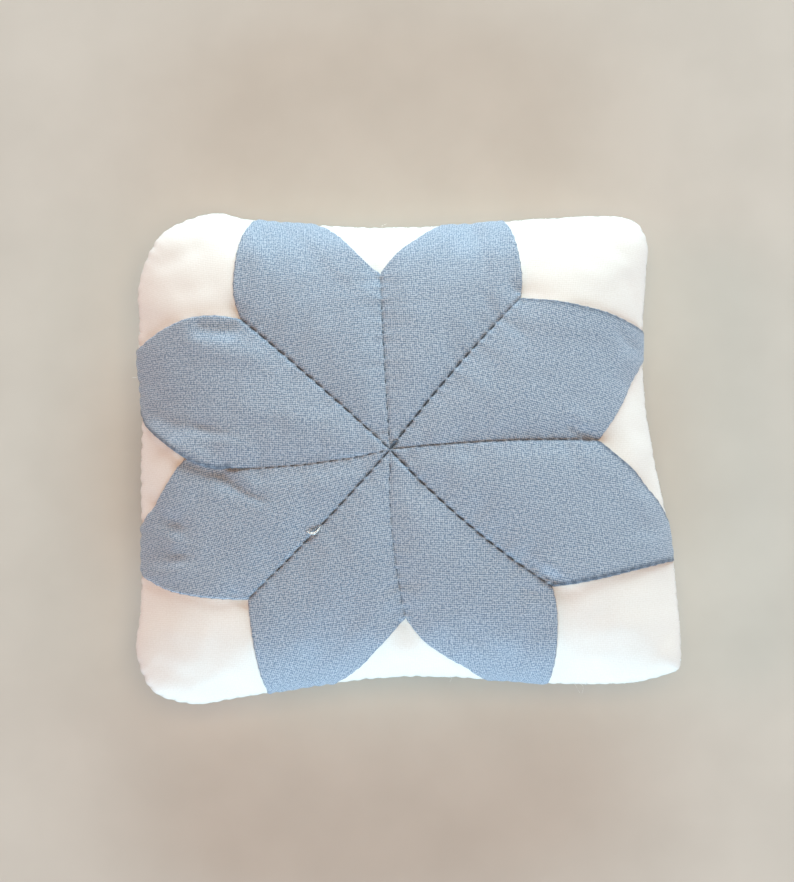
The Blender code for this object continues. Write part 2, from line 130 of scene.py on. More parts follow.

# Petals: seams on both sides, bearings where each edge meets the rim, and for each edge how far it bulges,
# swings, how square the bulge is and how dark the painted shadow along its outline reads; last the way the threads
# run, in degrees
PETALS = {
    "ene": ("e", "ne", 20.7, 26.5, (0.1, 0.0, 2, 0.1), (0.65, -0.1, 2, 0.85), -14.0),
    "nne": ("ne", "n", 64.4, 77.7, (0.9, 0.0, 3, 0.35), (0.4, 0.1, 2, 0.15), -4.0),
    "nnw": ("n", "nw", 108.0, 119.4, (0.1, -0.4, 2, 0.2), (1.9, 0.0, 3, 0.35), 7.0),
    "wsw": ("w", "sw", 195.4, 205.6, (2.3, 0.5, 2, 0.1), (1.35, -0.2, 2, 0.1), 16.0),
    "wnw": ("nw", "w", 157.1, 170.1, (2.0, 0.1, 2, 0.2), (2.4, -0.2, 3, 0.95), -3.0),
    "ssw": ("sw", "s", 242.8, 256.7, (0.35, -0.1, 2, 0.35), (0.4, -0.25, 2, 0.5), 8.0),
    "sse": ("s", "se", 292.9, 304.7, (0.75, 0.25, 2, 0.25), (0.85, 0.0, 3, 0.4), -2.0),
    "ese": ("se", "e", 339.7, 347.3, (0.25, 0.1, 2, 1.0), (0.65, -0.2, 2, 0.9), -9.0),
}

# Edges that follow no simple bulge, in millimetres from the valley to near the rim. The first of them laps
# over the start of the second.
DRAWN_EDGES = {
    ("wnw", 1): ((-30.2, -3.0), (-33.8, -1.9), (-36.8, 0.1), (-40.9, 3.3), (-42.9, 5.4)),
    ("wsw", 0): ((-30.6, -2.2), (-33.4, -0.9), (-35.3, -1.2), (-37.6, -4.3), (-39.9, -7.5), (-41.7, -9.6)),
}

# Soft folds in the petals, in millimetres: start, end, width, height
FOLDS = (
    ((-34.5, 20.3), (-26.3, 19.2), 1.3, -0.52),
    ((-36.5, 18.4), (-21.0, 14.6), 1.8, 0.50),
    ((-28.5, 7.0), (-12.0, 4.8), 1.6, 0.24),
    ((-42.6, 7.4), (-30.6, 3.2), 1.2, -0.50),
    ((-34.0, 4.4), (-20.0, 1.2), 1.2, -0.38),
    ((-31.5, 1.7), (-19.6, 2.4), 1.4, 0.32),
    ((-42.6, 5.2), (-34.2, 0.0), 1.0, 0.46),
    ((-35.4, 0.8), (-29.5, -1.9), 0.9, 0.38),
    ((-26.4, 4.3), (-18.0, 4.0), 1.3, -0.24),
    ((-31.2, -2.9), (-21.0, -8.5), 0.8, -0.52),
    ((-33.0, -3.0), (-24.0, -6.8), 1.9, -0.30),
    ((-29.0, -2.2), (-21.4, -6.3), 1.1, 0.26),
    ((-43.6, -5.8), (-33.6, -13.6), 1.4, -0.46),
    ((-43.0, -9.4), (-34.6, -14.8), 1.3, 0.34),
    ((-45.0, -16.0), (-33.4, -16.8), 1.4, -0.42),
    ((-45.0, -18.4), (-33.4, -18.6), 1.2, 0.34),
    ((-38.4, -14.6), (-30.6, -15.6), 1.4, 0.22),
    ((18.8, -17.6), (24.6, -21.0), 0.7, -0.50),
    ((16.5, -21.2), (22.0, -22.8), 0.8, -0.40),
    ((20.6, -16.2), (27.4, -20.4), 1.0, 0.26),
    ((25.0, 4.8), (30.6, 1.4), 0.8, -0.50),
    ((24.0, 7.0), (31.4, 3.8), 1.1, 0.24),
    ((33.6, 20.2), (38.6, 16.6), 0.7, -0.40),
    ((32.0, 18.0), (38.0, 13.6), 1.4, 0.26),
    ((16.6, 27.6), (18.4, 24.8), 0.8, -0.34),
    ((-28.6, 24.4), (-25.8, 21.4), 0.8, -0.30),
    ((-6.2, 30.4), (-4.4, 27.0), 0.7, -0.26),
    ((-2.6, -24.6), (-0.4, -28.0), 0.7, -0.28),
    ((-28.0, -22.0), (-24.6, -24.6), 0.8, -0.32),
    ((38.4, -8.0), (33.0, -6.0), 1.3, 0.18),
    ((-42.0, 30.5), (-33.0, 35.0), 1.6, -0.30),
    ((-38.0, 26.0), (-30.0, 27.5), 1.4, -0.18),
    ((30.0, 37.5), (37.5, 31.0), 1.4, -0.26),
    ((27.0, 30.0), (34.0, 27.5), 1.6, 0.20),
    ((34.0, -37.0), (41.0, -30.0), 1.5, -0.26),
    ((30.0, -28.0), (38.0, -27.0), 1.6, 0.20),
    ((-41.0, -33.0), (-33.0, -36.5), 1.5, -0.30),
    ((-39.0, -28.0), (-30.0, -29.5), 1.5, 0.22),
)

# ---------------------------------------------------------------- user settings


def linear(code):
    """An sRGB hex colour as linear light."""
    parts = [int(code[i : i + 2], 16) / 255 for i in (0, 2, 4)]
    return tuple(c / 12.92 if c <= 0.04045 else ((c + 0.055) / 1.055) ** 2.4 for c in parts)


def length_setting(name, text, size):
    """A length that a user can change."""
    return FloatProperty(name=name, description=text, default=size, unit="LENGTH", precision=5)


def colour_setting(name, text, code):
    """A colour that a user can change."""
    return FloatVectorProperty(
        name=name, description=text, default=linear(code), subtype="COLOR", min=0.0, max=1.0
    )


class ClothSettings(bpy.types.PropertyGroup):
    thickness: length_setting("Cloth thickness", "Thickness of one layer of cotton", 0.3 * MM)
    fold_height: length_setting("Folded edge", "Height of a turned petal edge", 0.56 * MM)
    allowance: length_setting("Seam allowance", "Width of the cloth turned under", 5.0 * MM)
    ditch_depth: length_setting("Ditch depth", "Depth of the narrow ditch at a seam", 0.42 * MM)
    ditch_width: length_setting("Ditch width", "Half width of the narrow ditch", 0.30 * MM)
    quilting: length_setting("Quilting", "How far a seam is pulled into the stuffing", 0.75 * MM)
    swell: length_setting("Most swell", "The furthest that the stuffing may push the cloth", 0.9 * MM)
    blue_warp: colour_setting("Blue warp", "Dyed threads of the chambray", "697E95")
    pale_weft: colour_setting("Pale weft", "Undyed threads of the chambray", "BAC4D0")
    white_warp: colour_setting("White warp", "Threads of the white cotton", "F4F1EC")
    white_weft: colour_setting("White weft", "Cross threads of the white cotton", "EAE5DE")
    weave_pitch: length_setting("Weave pitch", "Distance between threads", 0.34 * MM)


class StitchSettings(bpy.types.PropertyGroup):
    pitch: length_setting("Stitch pitch", "From one seam stitch to the next", 2.05 * MM)
    length: length_setting("Stitch length", "Visible length of a seam stitch", 1.5 * MM)
    radius: length_setting("Thread radius", "Half the thickness of the thread", 0.115 * MM)
    slip_pitch: length_setting("Slip stitch pitch", "From one petal edge stitch to the next", 1.65 * MM)
    whip_pitch: length_setting("Whip stitch pitch", "From one rim stitch to the next", 2.1 * MM)
    whip_pull: length_setting("Whip stitch pull", "How far each rim stitch draws the edge in", 0.24 * MM)
    seam_colour: colour_setting("Seam thread", "Thread of the seams between petals", "4C5967")
    slip_colour: colour_setting("Edge thread", "Thread along the petal edges", "71859A")
    rim_colour: colour_setting("Rim thread", "Thread round the rim", "EFEAE2")


class BandSettings(bpy.types.PropertyGroup):
    ribs: IntProperty(name="Ribs", description="Cords woven along the elastic", default=14, min=4)
    rib_height: length_setting("Rib height", "How far each cord stands proud", 0.14 * MM)
    colour: colour_setting("Elastic", "Colour of the woven elastic", "EDE9E1")


# ---------------------------------------------------------------- the outline


def corner_places():
    """The four sharp corners of the outline."""
    middle = (RIM_BOX[0] + RIM_BOX[1]) / 2
    return [
        Vector((middle.x + sx * (HALF_LENGTH - dx), middle.y + sy * (HALF_WIDTH - dy)))
        for (sx, sy), dx, dy, _ in CORNERS
    ]


def outline_knots():
    """The points that the outline runs through, counter-clockwise."""
    places = corner_places()
    knots = []
    for index, (corner, (_, _, _, radius)) in enumerate(zip(places, CORNERS)):
        after = places[(index + 1) % 4]
        to_before = (places[index - 1] - corner).normalized()
        to_after = (after - corner).normalized()
        half_angle = to_before.angle(to_after) / 2
        reach = radius / math.tan(half_angle)
        inward = (to_before + to_after).normalized()
        knots.append(corner + to_before * reach)
        knots.append(corner + inward * (radius / math.sin(half_angle) - radius))
        knots.append(corner + to_after * reach)
        along = after - corner
        normal = Vector((-along.y, along.x)).normalized()
        knots.extend(corner + along * share + normal * draw for share, draw in SIDES[index])
    return knots


def spline_point(a, b, c, d, share):
    """A point between b and c on the smooth curve through four knots."""
    times = [0.0]
    for start, end in ((a, b), (b, c), (c, d)):
        times.append(times[-1] + math.sqrt((end - start).length))
    t = times[1] + (times[2] - times[1]) * share

    def mix(start, end, low, high):
        return start * ((high - t) / (high - low)) + end * ((t - low) / (high - low))

    ab = mix(a, b, times[0], times[1])
    bc = mix(b, c, times[1], times[2])
    cd = mix(c, d, times[2], times[3])
    return mix(mix(ab, bc, times[0], times[2]), mix(bc, cd, times[1], times[3]), times[1], times[2])


def closed_curve(knots, steps):
    """A smooth closed run of points through the knots."""
    count = len(knots)
    return np.array([
        spline_point(knots[i - 1], knots[i], knots[(i + 1) % count], knots[(i + 2) % count], step / steps)
        for i in range(count)
        for step in range(steps)
    ])


OUTLINE = closed_curve(outline_knots(), 24)
OUTLINE_BEARINGS = np.degrees(np.arctan2(OUTLINE[:, 1], OUTLINE[:, 0]))
OUTLINE_ORDER = np.argsort(OUTLINE_BEARINGS)
OUTLINE_TRAVEL = np.concatenate([[0.0], np.cumsum(np.linalg.norm(np.diff(OUTLINE, axis=0), axis=1))])


def rim_radius(bearing):
    """How far the rim lies from the middle."""
    radii = np.hypot(OUTLINE[:, 0], OUTLINE[:, 1])
    return np.interp(bearing, OUTLINE_BEARINGS[OUTLINE_ORDER], radii[OUTLINE_ORDER], period=360.0)


def rim_travel(bearing):
    """Distance along the rim."""
    return np.interp(bearing, OUTLINE_BEARINGS[OUTLINE_ORDER], OUTLINE_TRAVEL[OUTLINE_ORDER], period=360.0)


def ring_radius(bearing, share):
    """Radius of a ring: round in the middle, and the outline at the rim, where share is 1."""
    return share * (MIDDLE_RADIUS + (rim_radius(bearing) - MIDDLE_RADIUS) * share**2)


def height(share, top):
    """Height of the upper or the lower face at a ring."""
    fullness, shoulder = TOP_FORM if top else BACK_FORM
    rise = (CROWN_HEIGHT if top else BACK_LEVEL) - SEAM_HEIGHT
    return SEAM_HEIGHT + rise * np.maximum(0.0, 1.0 - share**fullness) ** shoulder


def solve_share(reading, bearing, target):
    """The ring at which a rising reading reaches its target."""
    low = np.zeros_like(target)
    high = np.ones_like(target)
    for _ in range(34):
        middle = (low + high) / 2
        below = reading(bearing, middle) < target
        low = np.where(below, middle, low)
        high = np.where(below, high, middle)
    return high


def extra_travel(share, top):
    """How much longer the way over the face is than its plan, from the middle out to a ring."""
    turn = np.linspace(0.0, math.pi / 2, 400)
    shares = np.sin(turn)
    steps = np.hypot(np.diff(shares) * MIDDLE_RADIUS, np.diff(height(shares, top)))
    travel = np.concatenate([[0.0], np.cumsum(steps)])
    return np.interp(share, shares, travel - shares * MIDDLE_RADIUS)


def flat_radius(bearing, share, top):
    """Radius of a ring once the face is rolled out flat."""
    return ring_radius(bearing, share) + extra_travel(share, top)


def plan_to_ring(plan):
    """Bearing and ring of places in the plan."""
    bearing = np.degrees(np.arctan2(plan[:, 1], plan[:, 0]))
    return bearing, solve_share(ring_radius, bearing, np.hypot(plan[:, 0], plan[:, 1]))


def flat_to_ring(flat, top):
    """Bearing and ring of places on the flat cloth."""
    bearing = np.degrees(np.arctan2(flat[:, 1], flat[:, 0]))
    radius = np.hypot(flat[:, 0], flat[:, 1])
    return bearing, solve_share(lambda b, s: flat_radius(b, s, top), bearing, radius)


def ring_to_flat(bearing, share, top):
    """Places on the flat cloth."""
    angle = np.radians(bearing)
    return np.stack([np.cos(angle), np.sin(angle)], axis=-1) * flat_radius(bearing, share, top)[:, None]


def plan_to_flat(plan):
    """Places on the flat cloth of the top, from the plan."""
    return ring_to_flat(*plan_to_ring(np.asarray(plan, float)), True)


def bare_point(bearing, share, top):
    """Places on the smooth form."""
    angle = np.radians(bearing)
    radius = ring_radius(bearing, share)
    return np.stack([radius * np.cos(angle), radius * np.sin(angle), height(share, top)], axis=-1)


def bare_normal(bearing, share, top):
    """Outward direction of the smooth form."""
    step = 0.003
    inner = np.maximum(share - step, 0.0)
    outer = np.minimum(share + step, 1.0)
    out = bare_point(bearing, outer, top) - bare_point(bearing, inner, top)
    share_round = np.maximum(share, 0.02)
    round_it = bare_point(bearing + 0.4, share_round, top) - bare_point(bearing - 0.4, share_round, top)
    normal = np.cross(out, round_it) * (1.0 if top else -1.0)
    normal /= np.linalg.norm(normal, axis=1, keepdims=True)
    upright = np.array([0.0, 0.0, 1.0 if top else -1.0])
    normal = np.where(share[:, None] < 0.03, upright, normal)
    return normal


# ---------------------------------------------------------------- relief of the stuffed cloth

GRID_STEP = 0.5 * MM
GRID_HALF = 56.0 * MM
RELIEF = {}


def seam_line(name, step):
    """Places along a seam in the plan, from the centre to its valley."""
    bearing, length, bow = SEAMS[name][:3]
    angle = math.radians(bearing)
    along = np.array([math.cos(angle), math.sin(angle)])
    right = np.array([along[1], -along[0]])
    count = max(2, round(length / step))
    shares = np.linspace(0.0, 1.0, count + 1)[:, None]
    centre = np.array(FLOWER_CENTRE.xy)
    return centre + along * (length * shares) + right * (bow * 4 * shares * (1 - shares))


def spaced(points, step):
    """A closed or open run of points, spaced out evenly."""
    travel = np.concatenate([[0.0], np.cumsum(np.linalg.norm(np.diff(points, axis=0), axis=1))])
    count = max(2, round(travel[-1] / step))
    at = np.linspace(0.0, travel[-1], count + 1)
    return np.stack([np.interp(at, travel, points[:, axis]) for axis in range(points.shape[1])], axis=-1)


def rim_bearings(step):
    """Bearings spaced evenly along the rim."""
    closed = np.vstack([OUTLINE, OUTLINE[:1]])
    points = spaced(closed, step)[:-1]
    return np.degrees(np.arctan2(points[:, 1], points[:, 0]))


def triangle_net(points, edges=()):
    """Triangles between places in a plane, which keep to the given edges."""
    made = delaunay_2d_cdt([Vector(p) for p in points], list(edges), [], 1 if len(edges) else 0, 1e-9)
    verts, _, faces = made[0], made[1], made[2]
    return np.array([tuple(v) for v in verts]), [tuple(face) for face in faces]


def simulated_lift(points, triangles, rim_count, pinned, pull):
    """How far pressure pushes the top cloth and the back cloth out, at each point of the flat net."""
    bearing, share = flat_to_ring(points, True)
    share[:rim_count] = 1.0
    top = bare_point(bearing, share, True)
    normal = bare_normal(bearing, share, True)
    top = top - normal * (pull * pinned)[:, None]
    back = bare_point(bearing, share, False)
    count = len(points)
    scale = 10.0
    to_back = [i if i < rim_count else count + i - rim_count for i in range(count)]
    verts = np.vstack([top, back[rim_count:]]) * scale
    faces = list(triangles) + [tuple(to_back[i] for i in reversed(face)) for face in triangles]
    data = bpy.data.meshes.new("stuffed_cloth")
    data.from_pydata(verts.tolist(), [], faces)
    data.update()
    cloth = bpy.data.objects.new("stuffed_cloth", data)
    bpy.context.scene.collection.objects.link(cloth)
    group = cloth.vertex_groups.new(name="held")
    held = [i for i in range(count) if i < rim_count or pinned[i] > 0.5]
    flat_back = [to_back[i] for i in range(rim_count, count) if share[i] < 0.62]
    group.add(held + flat_back, 1.0, "REPLACE")
    modifier = cloth.modifiers.new("Cloth", "CLOTH")
    settings = modifier.settings
    settings.quality = 8
    settings.mass = 0.25
    settings.tension_stiffness = 18
    settings.compression_stiffness = 12
    settings.shear_stiffness = 6
    settings.bending_stiffness = 0.6
    settings.tension_damping = 10
    settings.compression_damping = 10
    settings.air_damping = 3
    settings.use_pressure = True
    settings.uniform_pressure_force = 6.0
    settings.vertex_group_mass = "held"
    settings.shrink_min = -0.012
    settings.effector_weights.gravity = 0.0
    modifier.collision_settings.use_collision = False
    modifier.point_cache.frame_start = 1
    modifier.point_cache.frame_end = 24
    scene = bpy.context.scene
    for number in range(1, 25):
        scene.frame_set(number)
    graph = bpy.context.evaluated_depsgraph_get()
    shape = cloth.evaluated_get(graph).to_mesh()
    moved = np.array([v.co for v in shape.vertices]) / scale
    cloth.evaluated_get(graph).to_mesh_clear()
    scene.frame_set(1)
    bpy.data.objects.remove(cloth, do_unlink=True)
    top_lift = ((moved[:count] - top) * normal).sum(axis=1) - pull * pinned
    back_normal = bare_normal(bearing, share, False)
    back_moved = np.vstack([top[:rim_count], moved[count:]])
    back_lift = ((back_moved - back) * back_normal).sum(axis=1)
    back_lift[:rim_count] = 0.0
    return top_lift, back_lift


def distance_to(points, starts, ends):
    """Distance to the nearest of some straight pieces, which piece that is, and how far along it."""
    along = ends - starts
    length_squared = np.maximum((along**2).sum(axis=1), 1e-18)
    best = np.full(len(points), 1e9)
    piece = np.zeros(len(points), int)
    share = np.zeros(len(points))
    for index in range(len(starts)):
        away = points - starts[index]
        t = np.clip((away @ along[index]) / length_squared[index], 0.0, 1.0)
        distance = np.linalg.norm(away - t[:, None] * along[index], axis=1)
        nearer = distance < best
        best = np.where(nearer, distance, best)
        piece = np.where(nearer, index, piece)
        share = np.where(nearer, t, share)
    return best, piece, share


def blurred(grid, radius):
    """A grid smoothed by a bell curve."""
    reach = int(3 * radius) + 1
    weights = np.exp(-((np.arange(-reach, reach + 1) / radius) ** 2) / 2)
    weights /= weights.sum()
    padded = np.pad(grid, reach, mode="edge")
    rows = sum(w * padded[i : i + grid.shape[0], :] for i, w in enumerate(weights))
    return sum(w * rows[:, i : i + grid.shape[1]] for i, w in enumerate(weights))


def grid_of(points, triangles, values):
    """Values of the net read onto an even grid over the flat cloth."""
    tree = BVHTree.FromPolygons([(x, y, 0.0) for x, y in points], triangles)
    axis = np.arange(-GRID_HALF, GRID_HALF + GRID_STEP / 2, GRID_STEP)
    grid = np.zeros((len(axis), len(axis)))
    for row, y in enumerate(axis):
        for column, x in enumerate(axis):
            place, _, index, _ = tree.find_nearest((x, y, 0.0))
            a, b, c = (points[i] for i in triangles[index])
            area = (b[0] - a[0]) * (c[1] - a[1]) - (c[0] - a[0]) * (b[1] - a[1])
            u = ((b[0] - place.x) * (c[1] - place.y) - (c[0] - place.x) * (b[1] - place.y)) / area
            v = ((c[0] - place.x) * (a[1] - place.y) - (a[0] - place.x) * (c[1] - place.y)) / area
            corners = [values[i] for i in triangles[index]]
            grid[row, column] = u * corners[0] + v * corners[1] + (1 - u - v) * corners[2]
    return blurred(grid, 1.6)


def read_grid(grid, flat):
    """The grid's value at places on the flat cloth."""
    at = (np.clip(flat, -GRID_HALF, GRID_HALF - GRID_STEP) + GRID_HALF) / GRID_STEP
    low = at.astype(int)
    part = at - low
    x, y = low[:, 0], low[:, 1]
    fx, fy = part[:, 0], part[:, 1]
    near = grid[y, x] * (1 - fx) + grid[y, x + 1] * fx
    far = grid[y + 1, x] * (1 - fx) + grid[y + 1, x + 1] * fx
    return near * (1 - fy) + far * fy


def stuff_cushion(settings):
    """Works out how the stuffing pushes the cloth between the seams that hold it down."""
    rim = rim_bearings(2.4 * MM)
    edge = ring_to_flat(rim, np.ones(len(rim)), True)
    seams = np.vstack([plan_to_flat(seam_line(name, 2.2 * MM)[1:]) for name in SEAMS])
    seams = np.vstack([seams, plan_to_flat([FLOWER_CENTRE.xy])])
    step = 2.3 * MM
    rows = np.arange(-GRID_HALF, GRID_HALF, step * 0.866)
    columns = np.arange(-GRID_HALF, GRID_HALF, step)
    free = np.array([(x + (step / 2 if i % 2 else 0.0), y) for i, y in enumerate(rows) for x in columns])
    inside = np.hypot(free[:, 0], free[:, 1]) < (
        flat_radius(np.degrees(np.arctan2(free[:, 1], free[:, 0])), np.ones(len(free)), True) - 0.6 * step
    )
    free = free[inside]
    clear = np.array([np.linalg.norm(seams - p, axis=1).min() > 0.6 * step for p in free])
    points = np.vstack([edge, seams, free[clear]])
    pinned = np.zeros(len(points))
    pinned[len(edge) : len(edge) + len(seams)] = 1.0
    _, triangles = triangle_net(points)
    triangles = [face if area_sign(points, face) > 0 else face[::-1] for face in triangles]
    top, back = simulated_lift(points, triangles, len(edge), pinned, settings.quilting)
    most = settings.swell
    top = most * np.tanh(top / most)
    back = np.clip(back, -0.2 * MM, 0.5 * MM)
    axis = np.arange(-GRID_HALF, GRID_HALF + GRID_STEP / 2, GRID_STEP)
    flat = np.stack(np.meshgrid(axis, axis), axis=-1).reshape(-1, 2)
    bearing, share = flat_to_ring(flat, True)
    plan = bare_point(bearing, share, True)[:, :2]
    open_part = 1 - share**22
    uneven = (ripple(plan) + fold_lift(plan)) * open_part
    RELIEF["top"] = grid_of(points, triangles, top) + uneven.reshape(len(axis), -1)
    RELIEF["back"] = grid_of(points, triangles, back) + (ripple(plan) * open_part).reshape(len(axis), -1)


def area_sign(points, face):
    """Positive for a counter-clockwise triangle."""
    a, b, c = (points[i] for i in face)
    return (b[0] - a[0]) * (c[1] - a[1]) - (c[0] - a[0]) * (b[1] - a[1])


def ripple(plan):
    """The slight unevenness of hand-stuffed cloth."""
    x, y = plan[:, 0] / MM, plan[:, 1] / MM
    waves = (
        (0.42, 0.13, 0.3), (-0.21, 0.47, 1.9), (0.77, -0.35, 4.1), (0.31, 0.83, 2.6),
        (1.13, 0.51, 0.9), (-0.93, 0.88, 5.2), (0.18, -1.31, 3.3), (1.55, -0.42, 1.2),
    )
    return sum(np.sin(a * x + b * y + c) / (1 + abs(a) + abs(b)) for a, b, c in waves) * 0.05 * MM


def pucker_lift(plan):
    """Height of the small puckers that the stitching draws up on both sides of a seam."""
    lift = np.zeros(len(plan))
    for index, name in enumerate(SEAMS):
        line = seam_line(name, 1.0 * MM)
        apart, piece, share = distance_to(plan, line[:-1], line[1:])
        travel = piece + share
        wave = np.sin(travel * 1.9 + 2.3 * index) + 0.7 * np.sin(travel * 3.1 + index)
        fade = (apart / (0.9 * MM)) ** 2 * np.exp(-apart / (1.1 * MM))
        lift += 0.055 * MM * wave * fade
    return lift


def fold_lift(plan):
    """Height of the soft folds at places in the plan."""
    lift = pucker_lift(plan)
    for start, end, width, rise in FOLDS:
        a, b = np.array(start) * MM, np.array(end) * MM
        along = b - a
        length = np.linalg.norm(along)
        t = ((plan - a) @ along) / length**2
        side = ((plan - a) @ np.array([along[1], -along[0]])) / length
        bend = 0.06 * length * np.sin(t * math.pi)
        taper = np.exp(-np.maximum(0.0, np.abs(t - 0.5) * 2 - 0.55) ** 2 / 0.09)
        lift += rise * MM * np.exp(-(((side - bend) / (width * MM)) ** 2)) * taper
    return lift


def scallop(bearing, share, settings):
    """How far the whipped stitches draw the rim in."""
    turn = rim_travel(bearing) / settings.whip_pitch
    pull = (0.5 + 0.5 * np.cos(turn * 2 * math.pi)) ** 1.6
    uneven = 0.62 + 0.38 * np.sin(turn * 1.7 + 0.4) - 0.28 * np.cos(np.radians(bearing))
    return settings.whip_pull * pull * uneven * share**30


def cushion_point(bearing, share, top, lift=0.0):
    """Places on the stuffed cushion, and its outward direction there."""
    stitches = bpy.context.scene.pin_cushion_stitches
    place = bare_point(bearing, share, top)
    normal = bare_normal(bearing, share, top)
    relief = read_grid(RELIEF["top" if top else "back"], ring_to_flat(bearing, share, True))
    place = place + normal * (relief + lift)[:, None]
    draw = scallop(bearing, share, stitches)
    angle = np.radians(bearing)
    place[:, 0] -= np.cos(angle) * draw
    place[:, 1] -= np.sin(angle) * draw
    return place, normal


# ---------------------------------------------------------------- meshes


def new_mesh_object(name, points, faces, material):
    """A mesh object with smooth shading."""
    data = bpy.data.meshes.new(name)
    data.from_pydata(np.asarray(points).tolist(), [], faces)
    data.update()
    data.shade_smooth()
    obj = bpy.data.objects.new(name, data)
    bpy.context.scene.collection.objects.link(obj)
    data.materials.append(material)
    return obj


def give_vector(obj, name, values):
    """Stores a vector at each point of a mesh."""
    attribute = obj.data.attributes.new(name, "FLOAT_VECTOR", "POINT")
    attribute.data.foreach_set("vector", np.asarray(values, np.float32).ravel())


def give_value(obj, name, values):
    """Stores a number at each point of a mesh."""
    attribute = obj.data.attributes.new(name, "FLOAT", "POINT")
    attribute.data.foreach_set("value", np.asarray(values, np.float32))


def cloth_places(flat, grain):
    """Places on the cloth in millimetres, turned to its grain."""
    angle = math.radians(grain)
    turn = np.array([[math.cos(angle), -math.sin(angle)], [math.sin(angle), math.cos(angle)]])
    turned = (flat / MM) @ turn
    return np.column_stack([turned, np.zeros(len(turned))])


def inside_loop(points, loop):
    """Which points lie inside a closed loop."""
    crossings = np.zeros(len(points), int)
    x, y = points[:, 0], points[:, 1]
    for a, b in zip(loop, np.roll(loop, -1, axis=0)):
        spans = (a[1] > y) != (b[1] > y)
        rise = b[1] - a[1] if abs(b[1] - a[1]) > 1e-15 else 1e-15
        crossings += spans & (x < a[0] + (b[0] - a[0]) * (y - a[1]) / rise)
    return crossings % 2 == 1


def fill_loop(loop, depths, step):
    """A net of triangles inside a loop: rings of points at some depths, and an even spread between."""
    leaving = np.roll(loop, -1, axis=0) - loop
    arriving = loop - np.roll(loop, 1, axis=0)
    along = leaving / np.linalg.norm(leaving, axis=1)[:, None] + arriving / np.linalg.norm(arriving, axis=1)[:, None]
    inward = np.stack([-along[:, 1], along[:, 0]], axis=-1)
    inward /= np.maximum(np.linalg.norm(inward, axis=1), 1e-12)[:, None]
    rings = [loop + inward * depth for depth in depths]
    low, high = loop.min(axis=0), loop.max(axis=0)
    rows = np.arange(low[1], high[1], step * 0.866)
    columns = np.arange(low[0], high[0], step)
    spread = np.array([(x + (step / 2 if i % 2 else 0.0), y) for i, y in enumerate(rows) for x in columns])
    kept = [loop]
    starts, ends = loop, np.roll(loop, -1, axis=0)
    for points, need in [*zip(rings, [0.93 * depth for depth in depths]), (spread, depths[-1] + 0.5 * step)]:
        points = points[inside_loop(points, loop)]
        apart, _, _ = distance_to(points, starts, ends)
        kept.append(points[apart > need])
    points = np.vstack(kept)
    count = len(loop)
    return triangle_net(points, [(i, (i + 1) % count) for i in range(count)])


def tubes(name, runs, material, sides=1):
    """Threads as one mesh. Each run is its points and its thickness at each point."""
    curve = bpy.data.curves.new(name, "CURVE")
    curve.dimensions = "3D"
    curve.bevel_depth = 1.0
    curve.bevel_resolution = sides
    curve.use_fill_caps = True
    for points, radii in runs:
        spline = curve.splines.new("POLY")
        spline.points.add(len(points) - 1)
        for target, point, radius in zip(spline.points, points, radii):
            target.co = (*point, 1.0)
            target.radius = radius
    drawn = bpy.data.objects.new(name, curve)
    bpy.context.scene.collection.objects.link(drawn)
    bpy.context.view_layer.update()
    graph = bpy.context.evaluated_depsgraph_get()
    data = bpy.data.meshes.new_from_object(drawn.evaluated_get(graph))
    bpy.data.objects.remove(drawn, do_unlink=True)
    bpy.data.curves.remove(curve)
    data.name = name
    mesh = bmesh.new()
    mesh.from_mesh(data)
    bmesh.ops.remove_doubles(mesh, verts=mesh.verts, dist=0.001 * MM)
    mesh.to_mesh(data)
    mesh.free()
    data.shade_smooth()
    data.materials.clear()
    data.materials.append(material)
    obj = bpy.data.objects.new(name, data)
    bpy.context.scene.collection.objects.link(obj)
    places = np.array([v.co for v in data.vertices]) / MM
    give_vector(obj, "cloth_mm", places)
    return obj


def settle(obj, slot, *nodes):
    """Ties a piece to the cushion's body and hides the plain nodes it stands for. The finish it is given as slot is
    not used.
    """
    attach(obj, "cushion")
    if nodes:
        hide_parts(*nodes)
    return obj


# ---------------------------------------------------------------- materials


def add(tree, kind, values=None, links=None, **settings):
    """Adds a shader node with its settings, its fixed inputs and its links."""
    node = tree.nodes.new(kind)
    for key, value in settings.items():
        setattr(node, key, value)
    for key, value in (values or {}).items():
        node.inputs[key].default_value = value
    for key, socket in (links or {}).items():
        tree.links.new(socket, node.inputs[key])
    return node


def new_material(name):
    """An empty node material, with its shader and the cloth's coordinates."""
    material = bpy.data.materials.new(name)
    material.use_nodes = True
    tree = material.node_tree
    tree.nodes.clear()
    shader = add(tree, "ShaderNodeBsdfPrincipled")
    output = add(tree, "ShaderNodeOutputMaterial")
    tree.links.new(shader.outputs["BSDF"], output.inputs["Surface"])
    places = add(tree, "ShaderNodeAttribute", attribute_name="cloth_mm")
    return material, tree, shader, places.outputs["Vector"]


def math_node(tree, operation, first, second=None):
    """A sum on one or two sockets or numbers."""
    node = add(tree, "ShaderNodeMath", operation=operation)
    for index, value in enumerate((first, second)):
        if value is None:
            continue
        if isinstance(value, (int, float)):
            node.inputs[index].default_value = value
        else:
            tree.links.new(value, node.inputs[index])
    return node.outputs[0]


def noise(tree, places, stretch, detail=2.0, roughness=0.5):
    """Noise on the cloth, with its scale along each thread in cycles per millimetre."""
    scaled = add(
        tree, "ShaderNodeVectorMath", {1: (*stretch, 1.0)}, {0: places}, operation="MULTIPLY"
    )
    texture = add(
        tree,
        "ShaderNodeTexNoise",
        {"Scale": 1.0, "Detail": detail, "Roughness": roughness},
        {"Vector": scaled.outputs[0]},
    )
    return texture.outputs["Fac"]


